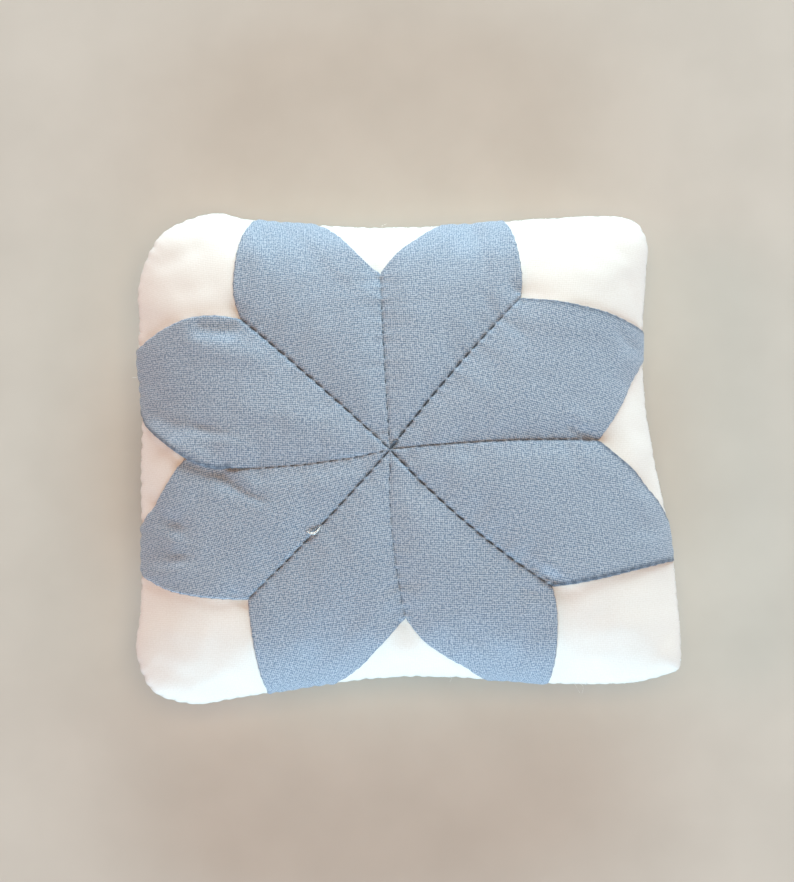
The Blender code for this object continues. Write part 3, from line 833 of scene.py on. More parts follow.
def ramp(tree, value, low, high, to_low=0.0, to_high=1.0):
    """A value taken from one range to another, and held there."""
    return add(
        tree,
        "ShaderNodeMapRange",
        {"From Min": low, "From Max": high, "To Min": to_low, "To Max": to_high},
        {"Value": value},
        clamp=True,
    ).outputs[0]


def mix_colour(tree, share, first, second, blend="MIX"):
    """Mixes two colours, each a socket or a fixed colour."""
    node = add(tree, "ShaderNodeMix", data_type="RGBA", blend_type=blend)
    for socket, value in ((node.inputs[0], share), (node.inputs[6], first), (node.inputs[7], second)):
        if isinstance(value, (int, float)):
            socket.default_value = value
        elif isinstance(value, bpy.types.NodeSocket):
            tree.links.new(value, socket)
        else:
            socket.default_value = (*value, 1.0)
    return node.outputs[2]


def weave(tree, places, pitch_mm):
    """Plain weave: which of the two threads shows at a place, about 0, and how high it stands."""
    separate = add(tree, "ShaderNodeSeparateXYZ", links={0: places})
    wobble = math_node(tree, "SUBTRACT", noise(tree, places, (0.7, 0.7), 1.0), 0.5)
    drift = math_node(tree, "MULTIPLY", wobble, 0.6 * pitch_mm)
    lines = []
    for axis, wide, strength in ((0, 0.86, 0.8), (1, 1.0, 0.9)):
        shifted = math_node(tree, "ADD", separate.outputs[axis], drift)
        turn = math_node(tree, "MULTIPLY", shifted, 2 * math.pi / (pitch_mm * wide))
        lines.append(math_node(tree, "MULTIPLY", math_node(tree, "SINE", turn), strength))
    return math_node(tree, "SUBTRACT", lines[1], lines[0]), math_node(tree, "ADD", *lines)


def woven_material(name, warp, weft, pitch_mm, contrast, roughness, sheen, bump, ditch=None):
    """Woven cotton: two sets of matt threads, uneven in thickness, with a little fuzz, and painted shade mixed towards
    a dark colour where one is given.
    """
    material, tree, shader, places = new_material(name)
    threads, relief = weave(tree, places, pitch_mm)
    slub_weft = noise(tree, places, (1.8, 3.4), 1.0, 0.6)
    slub_warp = noise(tree, places, (3.4, 1.8), 1.0, 0.6)
    slubs = math_node(tree, "SUBTRACT", math_node(tree, "ADD", slub_weft, slub_warp), 1.0)
    slubs = math_node(tree, "MULTIPLY", slubs, 0.9 * contrast)
    fibre = math_node(tree, "SUBTRACT", noise(tree, places, (3.3, 3.5), 1.0, 0.6), 0.5)
    fibre = math_node(tree, "MULTIPLY", fibre, 2.6 * contrast)
    threads = math_node(tree, "MULTIPLY", threads, 0.36 * contrast)
    share = math_node(tree, "ADD", math_node(tree, "ADD", threads, slubs), math_node(tree, "ADD", fibre, 0.5))
    share = ramp(tree, share, 0.0, 1.0)
    colour = mix_colour(tree, share, warp, weft)
    patch = ramp(tree, noise(tree, places, (0.09, 0.12), 2.0), 0.3, 0.7, 0.98, 1.02)
    grey = add(tree, "ShaderNodeCombineColor", links={0: patch, 1: patch, 2: patch}).outputs[0]
    colour = mix_colour(tree, 1.0, colour, grey, "MULTIPLY")
    # Painted shade: the value stored at each point mixes the colour towards the dark ditch colour. It stands in for
    # the shadow in seam ditches, under turned petal edges and at the rim.
    if ditch:
        painted_shade = add(tree, "ShaderNodeAttribute", attribute_name="painted_shade").outputs["Fac"]
        colour = mix_colour(tree, math_node(tree, "MULTIPLY", painted_shade, 0.85), colour, ditch)
    tree.links.new(colour, shader.inputs["Base Color"])
    heights = math_node(tree, "ADD", math_node(tree, "MULTIPLY", relief, 0.4), slubs)
    bumped = add(
        tree, "ShaderNodeBump", {"Strength": bump, "Distance": 0.05 * MM}, {"Height": heights}
    )
    tree.links.new(bumped.outputs[0], shader.inputs["Normal"])
    rough = ramp(tree, fibre, -0.5, 0.5, roughness - 0.06, roughness + 0.06)
    tree.links.new(rough, shader.inputs["Roughness"])
    shader.inputs["Sheen Weight"].default_value = sheen
    shader.inputs["Sheen Roughness"].default_value = 0.6
    shader.inputs["Specular IOR Level"].default_value = 0.25
    shader.inputs["IOR"].default_value = 1.53
    return material


def thread_material(name, colour, twist_mm=0.5):
    """Twisted cotton thread: a diagonal twist in light and dark, and a soft matt surface."""
    material, tree, shader, places = new_material(name)
    separate = add(tree, "ShaderNodeSeparateXYZ", links={0: places})
    slant = math_node(tree, "ADD", separate.outputs[0], separate.outputs[1])
    slant = math_node(tree, "ADD", slant, separate.outputs[2])
    twist = math_node(tree, "SINE", math_node(tree, "MULTIPLY", slant, 2 * math.pi / twist_mm))
    fuzz = noise(tree, places, (3.0, 3.0), 3.0)
    share = ramp(tree, math_node(tree, "ADD", math_node(tree, "MULTIPLY", twist, 0.3), fuzz), 0.1, 1.0)
    dark = tuple(c * 0.7 for c in colour)
    light = tuple(min(1.0, c * 1.25) for c in colour)
    tree.links.new(mix_colour(tree, share, dark, light), shader.inputs["Base Color"])
    bumped = add(tree, "ShaderNodeBump", {"Strength": 0.5, "Distance": 0.04 * MM}, {"Height": twist})
    tree.links.new(bumped.outputs[0], shader.inputs["Normal"])
    tree.links.new(ramp(tree, fuzz, 0.3, 0.7, 0.72, 0.88), shader.inputs["Roughness"])
    shader.inputs["Sheen Weight"].default_value = 0.15
    shader.inputs["IOR"].default_value = 1.53
    return material


MATERIALS = {}


def material_named(name):
    """The material of a surface, made the first time it is asked for."""
    if name in MATERIALS:
        return MATERIALS[name]
    cloth = bpy.context.scene.pin_cushion_cloth
    stitch = bpy.context.scene.pin_cushion_stitches
    band = bpy.context.scene.pin_cushion_band
    pitch = cloth.weave_pitch / MM
    makers = {
        # Blue chambray cotton, plain woven: blue threads one way and pale ones the other give a mottled,
        # milky blue. The real threads are finer than 0.2 mm, so the weave is drawn coarse enough to show.
        # The dark blue-grey 3F4C5C is painted shade, mixed in along the seam ditches and under the turned petal edges.
        "chambray_cotton_woven": lambda: woven_material(
            "chambray_cotton_woven", cloth.blue_warp, cloth.pale_weft, pitch, 1.0, 0.86, 0.20, 0.45, linear("3F4C5C")
        ),
        # Bleached cotton, plain woven: nearly even white, with a faint thread pattern and soft light.
        # The grey-beige A39A90 is painted shade, mixed in along a thin band at the rim of the top and back cloths.
        "bleached_cotton_woven": lambda: woven_material(
            "bleached_cotton_woven", cloth.white_warp, cloth.white_weft, pitch, 0.5, 0.88, 0.15, 0.16, linear("A39A90")
        ),
        # Dark polyester sewing thread: reads as a fine dark dash in the ditch of a seam.
        "seam_thread_twisted": lambda: thread_material("seam_thread_twisted", stitch.seam_colour),
        # Blue-grey cotton thread for slip stitches: nearly lost against the petals.
        "slip_thread_twisted": lambda: thread_material("slip_thread_twisted", stitch.slip_colour),
        # White cotton thread, whipped over the rim.
        "rim_thread_twisted": lambda: thread_material("rim_thread_twisted", stitch.rim_colour),
        # Knitted elastic: rubber cords under a cover of white polyester, so it is ribbed along its length.
        "elastic_woven": lambda: woven_material(
            "elastic_woven", band.colour, linear("DAD5CB"), 0.7, 1.0, 0.8, 0.10, 0.9
        ),
        # Grey board, pressed from recycled fibre: dull, slightly speckled.
        "grey_board_pressed": lambda: woven_material(
            "grey_board_pressed", linear("9B9184"), linear("7F766A"), 0.9, 0.8, 0.9, 0.0, 0.2
        ),
        # Polyester fibre filling, carded: a white matted wool.
        "fibre_filling_carded": lambda: woven_material(
            "fibre_filling_carded", linear("F2F0EA"), linear("DEDAD2"), 1.6, 1.0, 0.95, 0.3, 1.0
        ),
        # Painted board under the cushion: an even, pale, matt grey.
        "floor_board_painted": lambda: floor_material(),
    }
    MATERIALS[name] = makers[name]()
    return MATERIALS[name]


def floor_material():
    """Matt painted board, with the faint unevenness of a roller."""
    material, tree, shader, _ = new_material("floor_board_painted")
    places = add(tree, "ShaderNodeTexCoord").outputs["Object"]
    soft = add(tree, "ShaderNodeTexNoise", {"Scale": 60.0, "Detail": 3.0}, {"Vector": places})
    share = ramp(tree, soft.outputs["Fac"], 0.35, 0.65)
    colour = mix_colour(tree, share, linear("CDC6BC"), linear("C8C1B7"))
    tree.links.new(colour, shader.inputs["Base Color"])
    tree.links.new(ramp(tree, soft.outputs["Fac"], 0.3, 0.7, 0.75, 0.85), shader.inputs["Roughness"])
    shader.inputs["IOR"].default_value = 1.5
    return material


# ---------------------------------------------------------------- cloths


def under_petals(flat):
    """1 for places on the flat cloth that lie well under a petal, and 0 for those in the open."""
    covered = np.zeros(len(flat))
    for name in PETALS:
        loop, sources = petal_outline(name)
        ends = np.roll(loop, -1, axis=0)
        seam = (sources == 0) | (sources == 4)
        to_seam, _, _ = distance_to(flat, loop[seam], ends[seam])
        to_free, _, _ = distance_to(flat, loop[~seam], ends[~seam])
        under = inside_loop(flat, loop) | (to_seam < 1.0 * MM)
        sunk = np.clip((to_free - 0.5 * MM) / (1.0 * MM), 0.0, 1.0)
        covered = np.maximum(covered, np.where(under, sunk, 0.0))
    return covered


def face_mesh(name, top, step, material, grain):
    """The whole upper or lower cloth as one sheet."""
    bearings = rim_bearings(0.5 * MM)
    loop = ring_to_flat(bearings, np.full(len(bearings), 0.9999), top)
    flat, faces = fill_loop(loop, [0.4 * MM, 0.9 * MM], step)
    bearing, share = flat_to_ring(flat, top)
    share[: len(loop)] = 1.0
    lift = -0.5 * MM * under_petals(flat) if top else 0.0
    places, _ = cushion_point(bearing, share, top, lift)
    if not top:
        faces = [face[::-1] for face in faces]
    obj = new_mesh_object(name, places, faces, material)
    give_vector(obj, "cloth_mm", cloth_places(flat, grain))
    # Painted shade: a thin band at the rim is darkened towards the ditch colour, standing in for the shadow where the
    # cloth turns under at the seam.
    rim_shade = np.exp(-(((1 - share) / 0.004) ** 2)) * 0.25
    give_value(obj, "painted_shade", rim_shade)
    return obj, flat


def make_top_cloth():
    """The white cotton that the petals are sewn onto."""
    cloth = material_named("bleached_cotton_woven")
    obj, _ = face_mesh("top_cloth", True, 0.9 * MM, cloth, 2.0)
    settle(obj, "white_cotton", "ground_panel")
    return obj


def make_back_cloth():
    """The white cotton underneath."""
    cloth = material_named("bleached_cotton_woven")
    obj, _ = face_mesh("back_cloth", False, 1.1 * MM, cloth, -3.0)
    settle(obj, "white_cotton", "back_panel")
    return obj


def make_stuffing():
    """The fibre filling: one full body just inside the two cloths."""
    bearings = rim_bearings(2.4 * MM)
    loop = ring_to_flat(bearings, np.full(len(bearings), 0.9999), True)
    flat, faces = fill_loop(loop, [1.5 * MM], 2.6 * MM)
    bearing, share = flat_to_ring(flat, True)
    share = np.minimum(share, 1.0) * 0.965
    count = len(loop)
    above, _ = cushion_point(bearing, share, True, -1.4 * MM)
    below, _ = cushion_point(bearing, share, False, -2.9 * MM)
    below[:, 2] = np.minimum(below[:, 2], above[:, 2] - 0.2 * MM)
    below[:count] = above[:count]
    to_below = [i if i < count else len(flat) + i - count for i in range(len(flat))]
    all_faces = list(faces) + [tuple(to_below[i] for i in reversed(face)) for face in faces]
    places = np.vstack([above, below[count:]])
    obj = new_mesh_object("stuffing", places, all_faces, material_named("fibre_filling_carded"))
    give_vector(obj, "cloth_mm", places / MM)
    settle(obj, "fibre_filling", "filling")
    return obj


# ---------------------------------------------------------------- petals


def valley(name):
    """Where two petals part."""
    return seam_line(name, MM)[-1]


def rim_place(bearing):
    """Where a line from the flower's centre at a bearing meets the rim."""
    angle = math.radians(bearing)
    away = np.array([math.cos(angle), math.sin(angle)])
    centre = np.array(FLOWER_CENTRE.xy)
    low, high = 0.0, 4 * HALF_LENGTH
    for _ in range(40):
        middle = (low + high) / 2
        x, y = centre + away * middle
        if math.hypot(x, y) < rim_radius(math.degrees(math.atan2(y, x))) * 0.9995:
            low = middle
        else:
            high = middle
    return centre + away * low


def open_curve(knots, steps):
    """A smooth run of points through the knots."""
    knots = [Vector(knot) for knot in knots]
    knots = [2 * knots[0] - knots[1], *knots, 2 * knots[-1] - knots[-2]]
    shares = [step / steps for step in range(steps)]
    points = [spline_point(*knots[i : i + 4], share) for i in range(len(knots) - 3) for share in shares]
    return np.array([*points, knots[-2]])


def free_edge(name, last):
    """A petal's turned edge in the plan, from its valley to the rim. The last edge is 1, and the first is 0."""
    start, end = valley(PETALS[name][last]), rim_place(PETALS[name][2 + last])
    if (name, last) in DRAWN_EDGES:
        knots = [start, *(np.array(knot) * MM for knot in DRAWN_EDGES[name, last]), end]
        return spaced(open_curve(knots, 8), 0.4 * MM)
    bulge, swing, square, _ = PETALS[name][4 + last]
    along = end - start
    length = np.linalg.norm(along)
    outward = np.array([along[1], -along[0]]) / length * (-1 if last else 1)
    shares = np.linspace(0.0, 1.0, 60)
    offset = bulge * (1 - np.abs(2 * shares - 1) ** square) + swing * np.sin(2 * math.pi * shares)
    wave = 0.03 * np.sin(shares * length / (1.65 * MM) * 2 * math.pi)
    return start + along * shares[:, None] + outward * ((offset + wave) * MM)[:, None]


def petal_outline(name):
    """A petal's closed outline on the flat cloth, counter-clockwise, and what each piece of it is."""
    first, last = PETALS[name][:2]
    runs = [
        ("seam", seam_line(first, 0.34 * MM)),
        ("free", free_edge(name, 0)),
        ("rim", None),
        ("free", free_edge(name, 1)[::-1]),
        ("seam", seam_line(last, 0.34 * MM)[::-1]),
    ]
    points, sources = [], []
    for index, (kind, plan) in enumerate(runs):
        if kind == "rim":
            ends = [runs[1][1][-1], runs[3][1][0]]
            turns = [math.degrees(math.atan2(p[1], p[0])) % 360.0 for p in ends]
            span = (turns[1] - turns[0]) % 360.0
            bearings = turns[0] + span * np.linspace(0.0, 1.0, 24)
            flat = ring_to_flat(bearings, np.full(24, 0.9999), True)
        else:
            flat = plan_to_flat(plan)
        flat = spaced(flat, 0.34 * MM if kind != "rim" else 0.5 * MM)
        points.append(flat[:-1])
        sources.extend([index] * (len(flat) - 1))
    return np.vstack(points), np.array(sources)


def run_travel(loop, chosen, piece, share):
    """Distance along a run of the outline at each point's nearest place."""
    starts = loop[chosen]
    ends = np.roll(loop, -1, axis=0)[chosen]
    lengths = np.linalg.norm(ends - starts, axis=1)
    travel = np.concatenate([[0.0], np.cumsum(lengths)])
    return travel[piece] + share * lengths[piece]


def stitch_wave(travel, pitch, length):
    """1 where a stitch lies on the cloth, and 0 in the gap between two."""
    phase = np.abs((travel / pitch) % 1.0 - 0.5) * 2
    edge = length / pitch
    return 1.0 / (1.0 + np.exp((phase - edge) * 16.0))


def seam_depth(name, along):
    """How deep a seam's ditch sinks and how dark its painted shade reads, at shares of its length from the centre,
    from 0 to 1.
    """
    return SEAMS[name][3] + (SEAMS[name][4] - SEAMS[name][3]) * along


def petal_lift(name, loop, sources, flat, settings, stitches, rank):
    """Height of a petal over the white cloth, and how much painted shade each place gets in a seam's ditch and along
    its turned edges.
    """
    starts, ends = loop, np.roll(loop, -1, axis=0)
    apart = {}
    travel = {}
    for source in range(5):
        chosen = np.flatnonzero(sources == source)
        distance, piece, share = distance_to(flat, starts[chosen], ends[chosen])
        apart[source] = distance
        travel[source] = run_travel(loop, chosen, piece, share)
    seam = np.minimum(apart[0], apart[4])
    free = np.minimum(apart[1], apart[3])
    # The last seam's run comes back from its valley, so its travel is counted from the centre again.
    back = travel[4].max()
    seam_travel = np.where(apart[0] < apart[4], travel[0], back - travel[4])
    free_travel = np.where(apart[1] < apart[3], travel[1], travel[3].max() - travel[3])
    doubled = 1.0 / (1.0 + np.exp((free - settings.allowance) / (0.35 * MM)))
    lift = settings.thickness + (settings.fold_height - settings.thickness) * doubled
    round_over = np.clip(free / (0.34 * MM), 0.0, 1.0)
    slip = stitch_wave(free_travel, stitches.slip_pitch, 0.45 * MM)
    edge = np.sqrt(1 - (1 - round_over) ** 2)
    lift *= 0.12 + 0.88 * edge
    lift -= 0.09 * MM * slip * np.exp(-((free / (0.55 * MM)) ** 2))
    stitched = stitch_wave(seam_travel, stitches.pitch, stitches.length)
    ditch = np.exp(-((seam / settings.ditch_width) ** 1.6))
    along = np.clip(seam_travel / seam_travel.max(), 0.0, 1.0)
    depths = [seam_depth(side, along) for side in PETALS[name][:2]]
    depth = np.where(apart[0] < apart[4], depths[0], depths[1])
    lift -= settings.ditch_depth * ditch * (0.35 + 0.65 * depth) * (0.08 + 0.92 * stitched)
    lift += 0.10 * MM * np.exp(-(((seam - 0.65 * MM) / (0.35 * MM)) ** 2)) * (1.2 - stitched)
    lift += rank * 0.02 * MM
    # Painted shade: dark along each seam's ditch, most under each stitch, and in beaded dashes along the turned free
    # edges, standing in for the shadow there.
    painted_shade = depth * np.exp(-((seam / (0.16 * MM)) ** 2)) * (0.08 + 0.92 * stitched)
    painted_shade += 0.14 * depth * np.exp(-((seam / (0.7 * MM)) ** 2))
    shades = [PETALS[name][4][3], PETALS[name][5][3]]
    shade = np.where(apart[1] < apart[3], shades[0], shades[1])
    beads = 1.0 - 0.3 * np.clip(0.5 - np.cos(free_travel / stitches.slip_pitch * 2 * math.pi), 0.0, 1.0)
    painted_shade = np.maximum(painted_shade, shade * beads * np.exp(-((free / ((0.10 + 0.70 * shade**2) * MM)) ** 4)))
    return lift, np.clip(painted_shade, 0.0, 1.0)


def edge_pieces(name, last):
    """The straight pieces of a petal's free edge on the flat cloth: their starts and ends."""
    edge = plan_to_flat(free_edge(name, last))
    return edge[:-1], edge[1:]


def lap_lift(flat, edge):
    """Extra height along the edge that laps over its neighbour, most beside the valley."""
    apart, _, _ = distance_to(flat, edge[:-1], edge[1:])
    from_valley = np.linalg.norm(flat - edge[-1], axis=1)
    near = np.exp(-((apart / (2.4 * MM)) ** 2)) * np.exp(-((from_valley / (14.0 * MM)) ** 2))
    start = np.clip(from_valley / (2.0 * MM), 0.0, 1.0)
    return 0.5 * MM * near * start * (0.35 + 0.65 * np.clip(apart / (0.3 * MM), 0.0, 1.0))


def make_petal(name, rank):
    """One petal: its edges turned under where it lies free, and drawn into a ditch along its seams."""
    settings = bpy.context.scene.pin_cushion_cloth
    stitches = bpy.context.scene.pin_cushion_stitches
    loop, sources = petal_outline(name)
    flat, faces = fill_loop(loop, [d * MM for d in (0.10, 0.22, 0.38, 0.6, 0.9)], 0.8 * MM)
    bearing, share = flat_to_ring(flat, True)
    share = np.minimum(share, 1.0)
    lift, painted_shade = petal_lift(name, loop, sources, flat, settings, stitches, rank)
    if name == "wnw":
        lift += lap_lift(flat, loop[sources == 3])
    elif name == "wsw":
        lift -= 0.25 * MM * np.exp(-((distance_to(flat, *edge_pieces("wnw", 1))[0] / (2.5 * MM)) ** 2))
    rim = np.clip((1 - share) / 0.03, 0.0, 1.0)
    lift = lift * (0.35 + 0.65 * rim)
    places, _ = cushion_point(bearing, share, True, lift)
    obj = new_mesh_object("petal_cloth_" + name, places, faces, material_named("chambray_cotton_woven"))
    give_vector(obj, "cloth_mm", cloth_places(flat, PETALS[name][6]) + np.array([17.3 * rank, 9.1 * rank, 0.0]))
    # The painted shade along the seams and turned edges, which the cloth's material reads.
    give_value(obj, "painted_shade", painted_shade)
    settle(obj, "blue_cotton", "petal_" + name)
    return obj


# ---------------------------------------------------------------- stitches


def surface_at(plan, lift):
    """Places on the dressed cushion over places in the plan."""
    bearing, share = plan_to_ring(np.asarray(plan, float))
    return cushion_point(bearing, share, True, lift)


def stitches_along(plan_line, start, pitch, length, radius, lift, seed):
    """Short runs of thread laid along a line in the plan, each dipping in at its ends."""
    random = np.random.default_rng(seed)
    travel = np.concatenate([[0.0], np.cumsum(np.linalg.norm(np.diff(plan_line, axis=0), axis=1))])
    runs = []
    at = start + pitch / 2
    while at + length / 2 < travel[-1] - 0.6 * MM:
        long = length * random.uniform(0.78, 1.1)
        middle = at + random.uniform(-0.06, 0.06) * pitch
        marks = middle + long * np.array([-0.5, -0.36, -0.12, 0.12, 0.36, 0.5])
        plan = np.stack([np.interp(marks, travel, plan_line[:, axis]) for axis in (0, 1)], axis=-1)
        dip = np.array([-0.22, -0.03, 0.0, 0.0, -0.03, -0.22]) * MM
        places, _ = surface_at(plan, lift(marks / travel[-1]) + dip)
        runs.append((places, radius * np.array([0.55, 0.95, 1.0, 1.0, 0.95, 0.55])))
        at += pitch
    return runs


def make_seam_stitches():
    """Dark machine stitches that lie in the ditches between the petals."""
    settings = bpy.context.scene.pin_cushion_cloth
    stitches = bpy.context.scene.pin_cushion_stitches
    for index, name in enumerate(SEAMS):
        line = seam_line(name, 0.3 * MM)

        def lift(along, name=name):
            """Height of the thread's middle in its ditch."""
            ditch = settings.ditch_depth * (0.35 + 0.65 * seam_depth(name, along))
            return settings.thickness - ditch + 0.11 * MM

        length = stitches.length * SEAMS[name][5]
        radius = stitches.radius * (0.6 + 0.4 * SEAMS[name][5])
        start = 1.4 * MM if name in ("e", "n", "s") else 0.3 * MM
        runs = stitches_along(line, start, stitches.pitch, length, radius, lift, seed=index + 3)
        obj = tubes("seam_stitches_" + name, runs, material_named("seam_thread_twisted"))
        settle(obj, "grey_thread", "seam_thread_" + name)


def make_edge_stitches():
    """Slip stitches that catch the turned petal edges down, one piece for each valley."""
    stitches = bpy.context.scene.pin_cushion_stitches
    settings = bpy.context.scene.pin_cushion_cloth
    for index, name in enumerate(SEAMS):
        before = next(petal for petal, row in PETALS.items() if row[1] == name)
        after = next(petal for petal, row in PETALS.items() if row[0] == name)
        edges = (
            (free_edge(before, 1), 1.0),
            (free_edge(after, 0), -1.0),
        )
        runs = []
        for edge, inner_side in edges:
            runs.extend(slip_stitches(edge, inner_side, stitches, settings, seed=index * 7 + 11))
        obj = tubes("edge_stitches_" + name, runs, material_named("slip_thread_twisted"))
        settle(obj, "grey_thread", "edge_thread_" + name)


def slip_stitches(edge, inner_side, stitches, settings, seed):
    """Small slanted loops from the white cloth up over a folded edge."""
    random = np.random.default_rng(seed)
    travel = np.concatenate([[0.0], np.cumsum(np.linalg.norm(np.diff(edge, axis=0), axis=1))])
    runs = []
    at = stitches.slip_pitch * 0.6
    while at < travel[-1] - 0.8 * MM:
        here = np.array([np.interp(at, travel, edge[:, axis]) for axis in (0, 1)])
        ahead = np.array([np.interp(at + 0.3 * MM, travel, edge[:, axis]) for axis in (0, 1)])
        along = (ahead - here) / np.linalg.norm(ahead - here)
        inward = inner_side * np.array([along[1], -along[0]])
        slant = random.uniform(0.05, 0.3) * MM
        steps = np.array([-0.05, 0.05, 0.2, 0.36]) * MM
        plan = here + inward * steps[:, None] + along * (slant * np.linspace(-1, 1, 4))[:, None]
        lifts = np.array([0.0, 0.5, 0.88, 0.72]) * settings.fold_height
        places, _ = surface_at(plan, lifts)
        radius = 0.045 * MM
        runs.append((places, radius * np.array([0.7, 1.0, 1.0, 0.6])))
        at += stitches.slip_pitch * random.uniform(0.9, 1.1)
    return runs


def make_rim_stitches():
    """White thread whipped over the rim to close it."""
    stitches = bpy.context.scene.pin_cushion_stitches
    total = OUTLINE_TRAVEL[-1]
    count = int(total / stitches.whip_pitch)
    turns = np.linspace(-70.0, 70.0, 7)
    runs = []
    for index in range(count):
        at = index * stitches.whip_pitch
        x = np.interp(at, OUTLINE_TRAVEL, OUTLINE[:, 0])
        y = np.interp(at, OUTLINE_TRAVEL, OUTLINE[:, 1])
        bearing = np.array([math.degrees(math.atan2(y, x))])
        place, _ = cushion_point(bearing, np.array([1.0]), True)
        ahead, _ = cushion_point(bearing + 0.5, np.array([1.0]), True)
        along = ahead[0] - place[0]
        along /= np.linalg.norm(along)
        out = np.array([along[1], -along[0], 0.0])
        up = np.array([0.0, 0.0, 1.0])
        middle = place[0] - out * 0.70 * MM
        angle = np.radians(turns)
        points = (
            middle
            + out * (0.66 * MM * np.cos(angle))[:, None]
            + up * (0.80 * MM * np.sin(angle))[:, None]
            + along * (0.32 * MM * np.sin(angle))[:, None]
        )
        runs.append((points, np.full(len(turns), 0.12 * MM)))
    obj = tubes("rim_stitches", runs, material_named("rim_thread_twisted"))
    settle(obj, "white_thread", "rim_thread")


def make_centre_knot():
    """The dark knot where the seams meet, with its short hooked end."""
    settings = bpy.context.scene.pin_cushion_cloth
    centre = np.array(FLOWER_CENTRE.xy)
    lift = settings.thickness
    turns = np.linspace(0.0, 2.0 * math.pi * 1.3, 14)
    coil = centre + (np.stack([np.cos(turns), np.sin(turns)], axis=-1) * (0.18 * MM))
    places, _ = surface_at(coil, lift + np.linspace(-0.30, -0.08, len(turns)) * MM)
    hook = centre + np.array([(-0.15, -0.2), (-0.05, 0.2), (0.35, 0.75), (0.9, 1.25), (1.5, 1.55)]) * MM
    hooked, _ = surface_at(hook, lift + np.array([-0.25, 0.02, 0.10, 0.06, -0.2]) * MM)
    tail = centre + np.array([(0.3, -1.2), (0.15, -2.2), (0.1, -3.3), (0.35, -4.6), (0.6, -5.6)]) * MM
    tailed, _ = surface_at(tail, lift + np.array([-0.2, -0.02, 0.02, -0.02, -0.25]) * MM)
    radius = 0.11 * MM
    runs = [
        (places, np.full(len(turns), radius)),
        (hooked, radius * np.array([0.7, 1.0, 1.0, 0.9, 0.5])),
        (tailed, radius * np.array([0.5, 0.7, 0.8, 0.7, 0.4])),
    ]
    obj = tubes("centre_knot", runs, material_named("seam_thread_twisted"), sides=2)
    settle(obj, "grey_thread", "centre_tack")


def make_loose_fibres():
    """A scrap of lint caught on a seam, and fine hairs of thread along the rim."""
    lint = np.array([(-15.9, -13.0), (-15.2, -13.3), (-14.6, -13.3), (-14.1, -12.9), (-13.7, -12.3)]) * MM
    places, _ = surface_at(lint, np.array([0.45, 0.6, 0.62, 0.6, 0.45]) * MM)
    runs = [(places, np.array([0.07, 0.17, 0.20, 0.15, 0.05]) * MM)]
    random = np.random.default_rng(5)
    for bearing in (304.0, 307.0, 310.0, 313.0, 281.0, 96.0, 163.0):
        length = random.uniform(0.6, 1.5) * (2.6 if 300 < bearing < 315 else 1.0)
        slant = random.uniform(-60, 60)
        away = math.radians(bearing + slant)
        radius = rim_radius(bearing) - 0.3 * MM
        start = np.array([math.cos(math.radians(bearing)), math.sin(math.radians(bearing))]) * radius
        shares = np.linspace(0.0, 1.0, 8)
        curl = 0.25 * length * np.sin(shares * math.pi * random.uniform(0.8, 1.6))
        reach = start + np.outer(shares * length, (math.cos(away), math.sin(away))) * MM
        reach += np.outer(curl, (-math.sin(away), math.cos(away))) * MM
        rise = SEAM_HEIGHT + (0.6 + random.uniform(-0.5, 1.2) * shares) * MM
        runs.append((np.column_stack([reach, rise]), (0.04 - 0.02 * shares) * MM))
    obj = tubes("loose_fibres", runs, material_named("rim_thread_twisted"))
    settle(obj, "white_thread")


# ---------------------------------------------------------------- wrist band


def band_path(x, y, side):
    """Height of the elastic's middle over a place in the plan: flat under the cushion, then up to the rim."""
    flat_level = (BAND_BOX[0].z + BAND_BOX[1].z) / 2
    plan = np.stack([x, y], axis=-1)
    bearing, share = plan_to_ring(plan)
    follow = height(np.minimum(share, 1.0), False) - 0.75 * MM
    edge = BAND_BOX[1].x if side > 0 else -BAND_BOX[0].x
    t = np.clip((np.abs(x) - 0.8 * edge) / (10.0 * MM), 0.0, 1.0)
    t = t * t * (3 - 2 * t)
    return np.maximum(flat_level, flat_level * (1 - t) + follow * t)


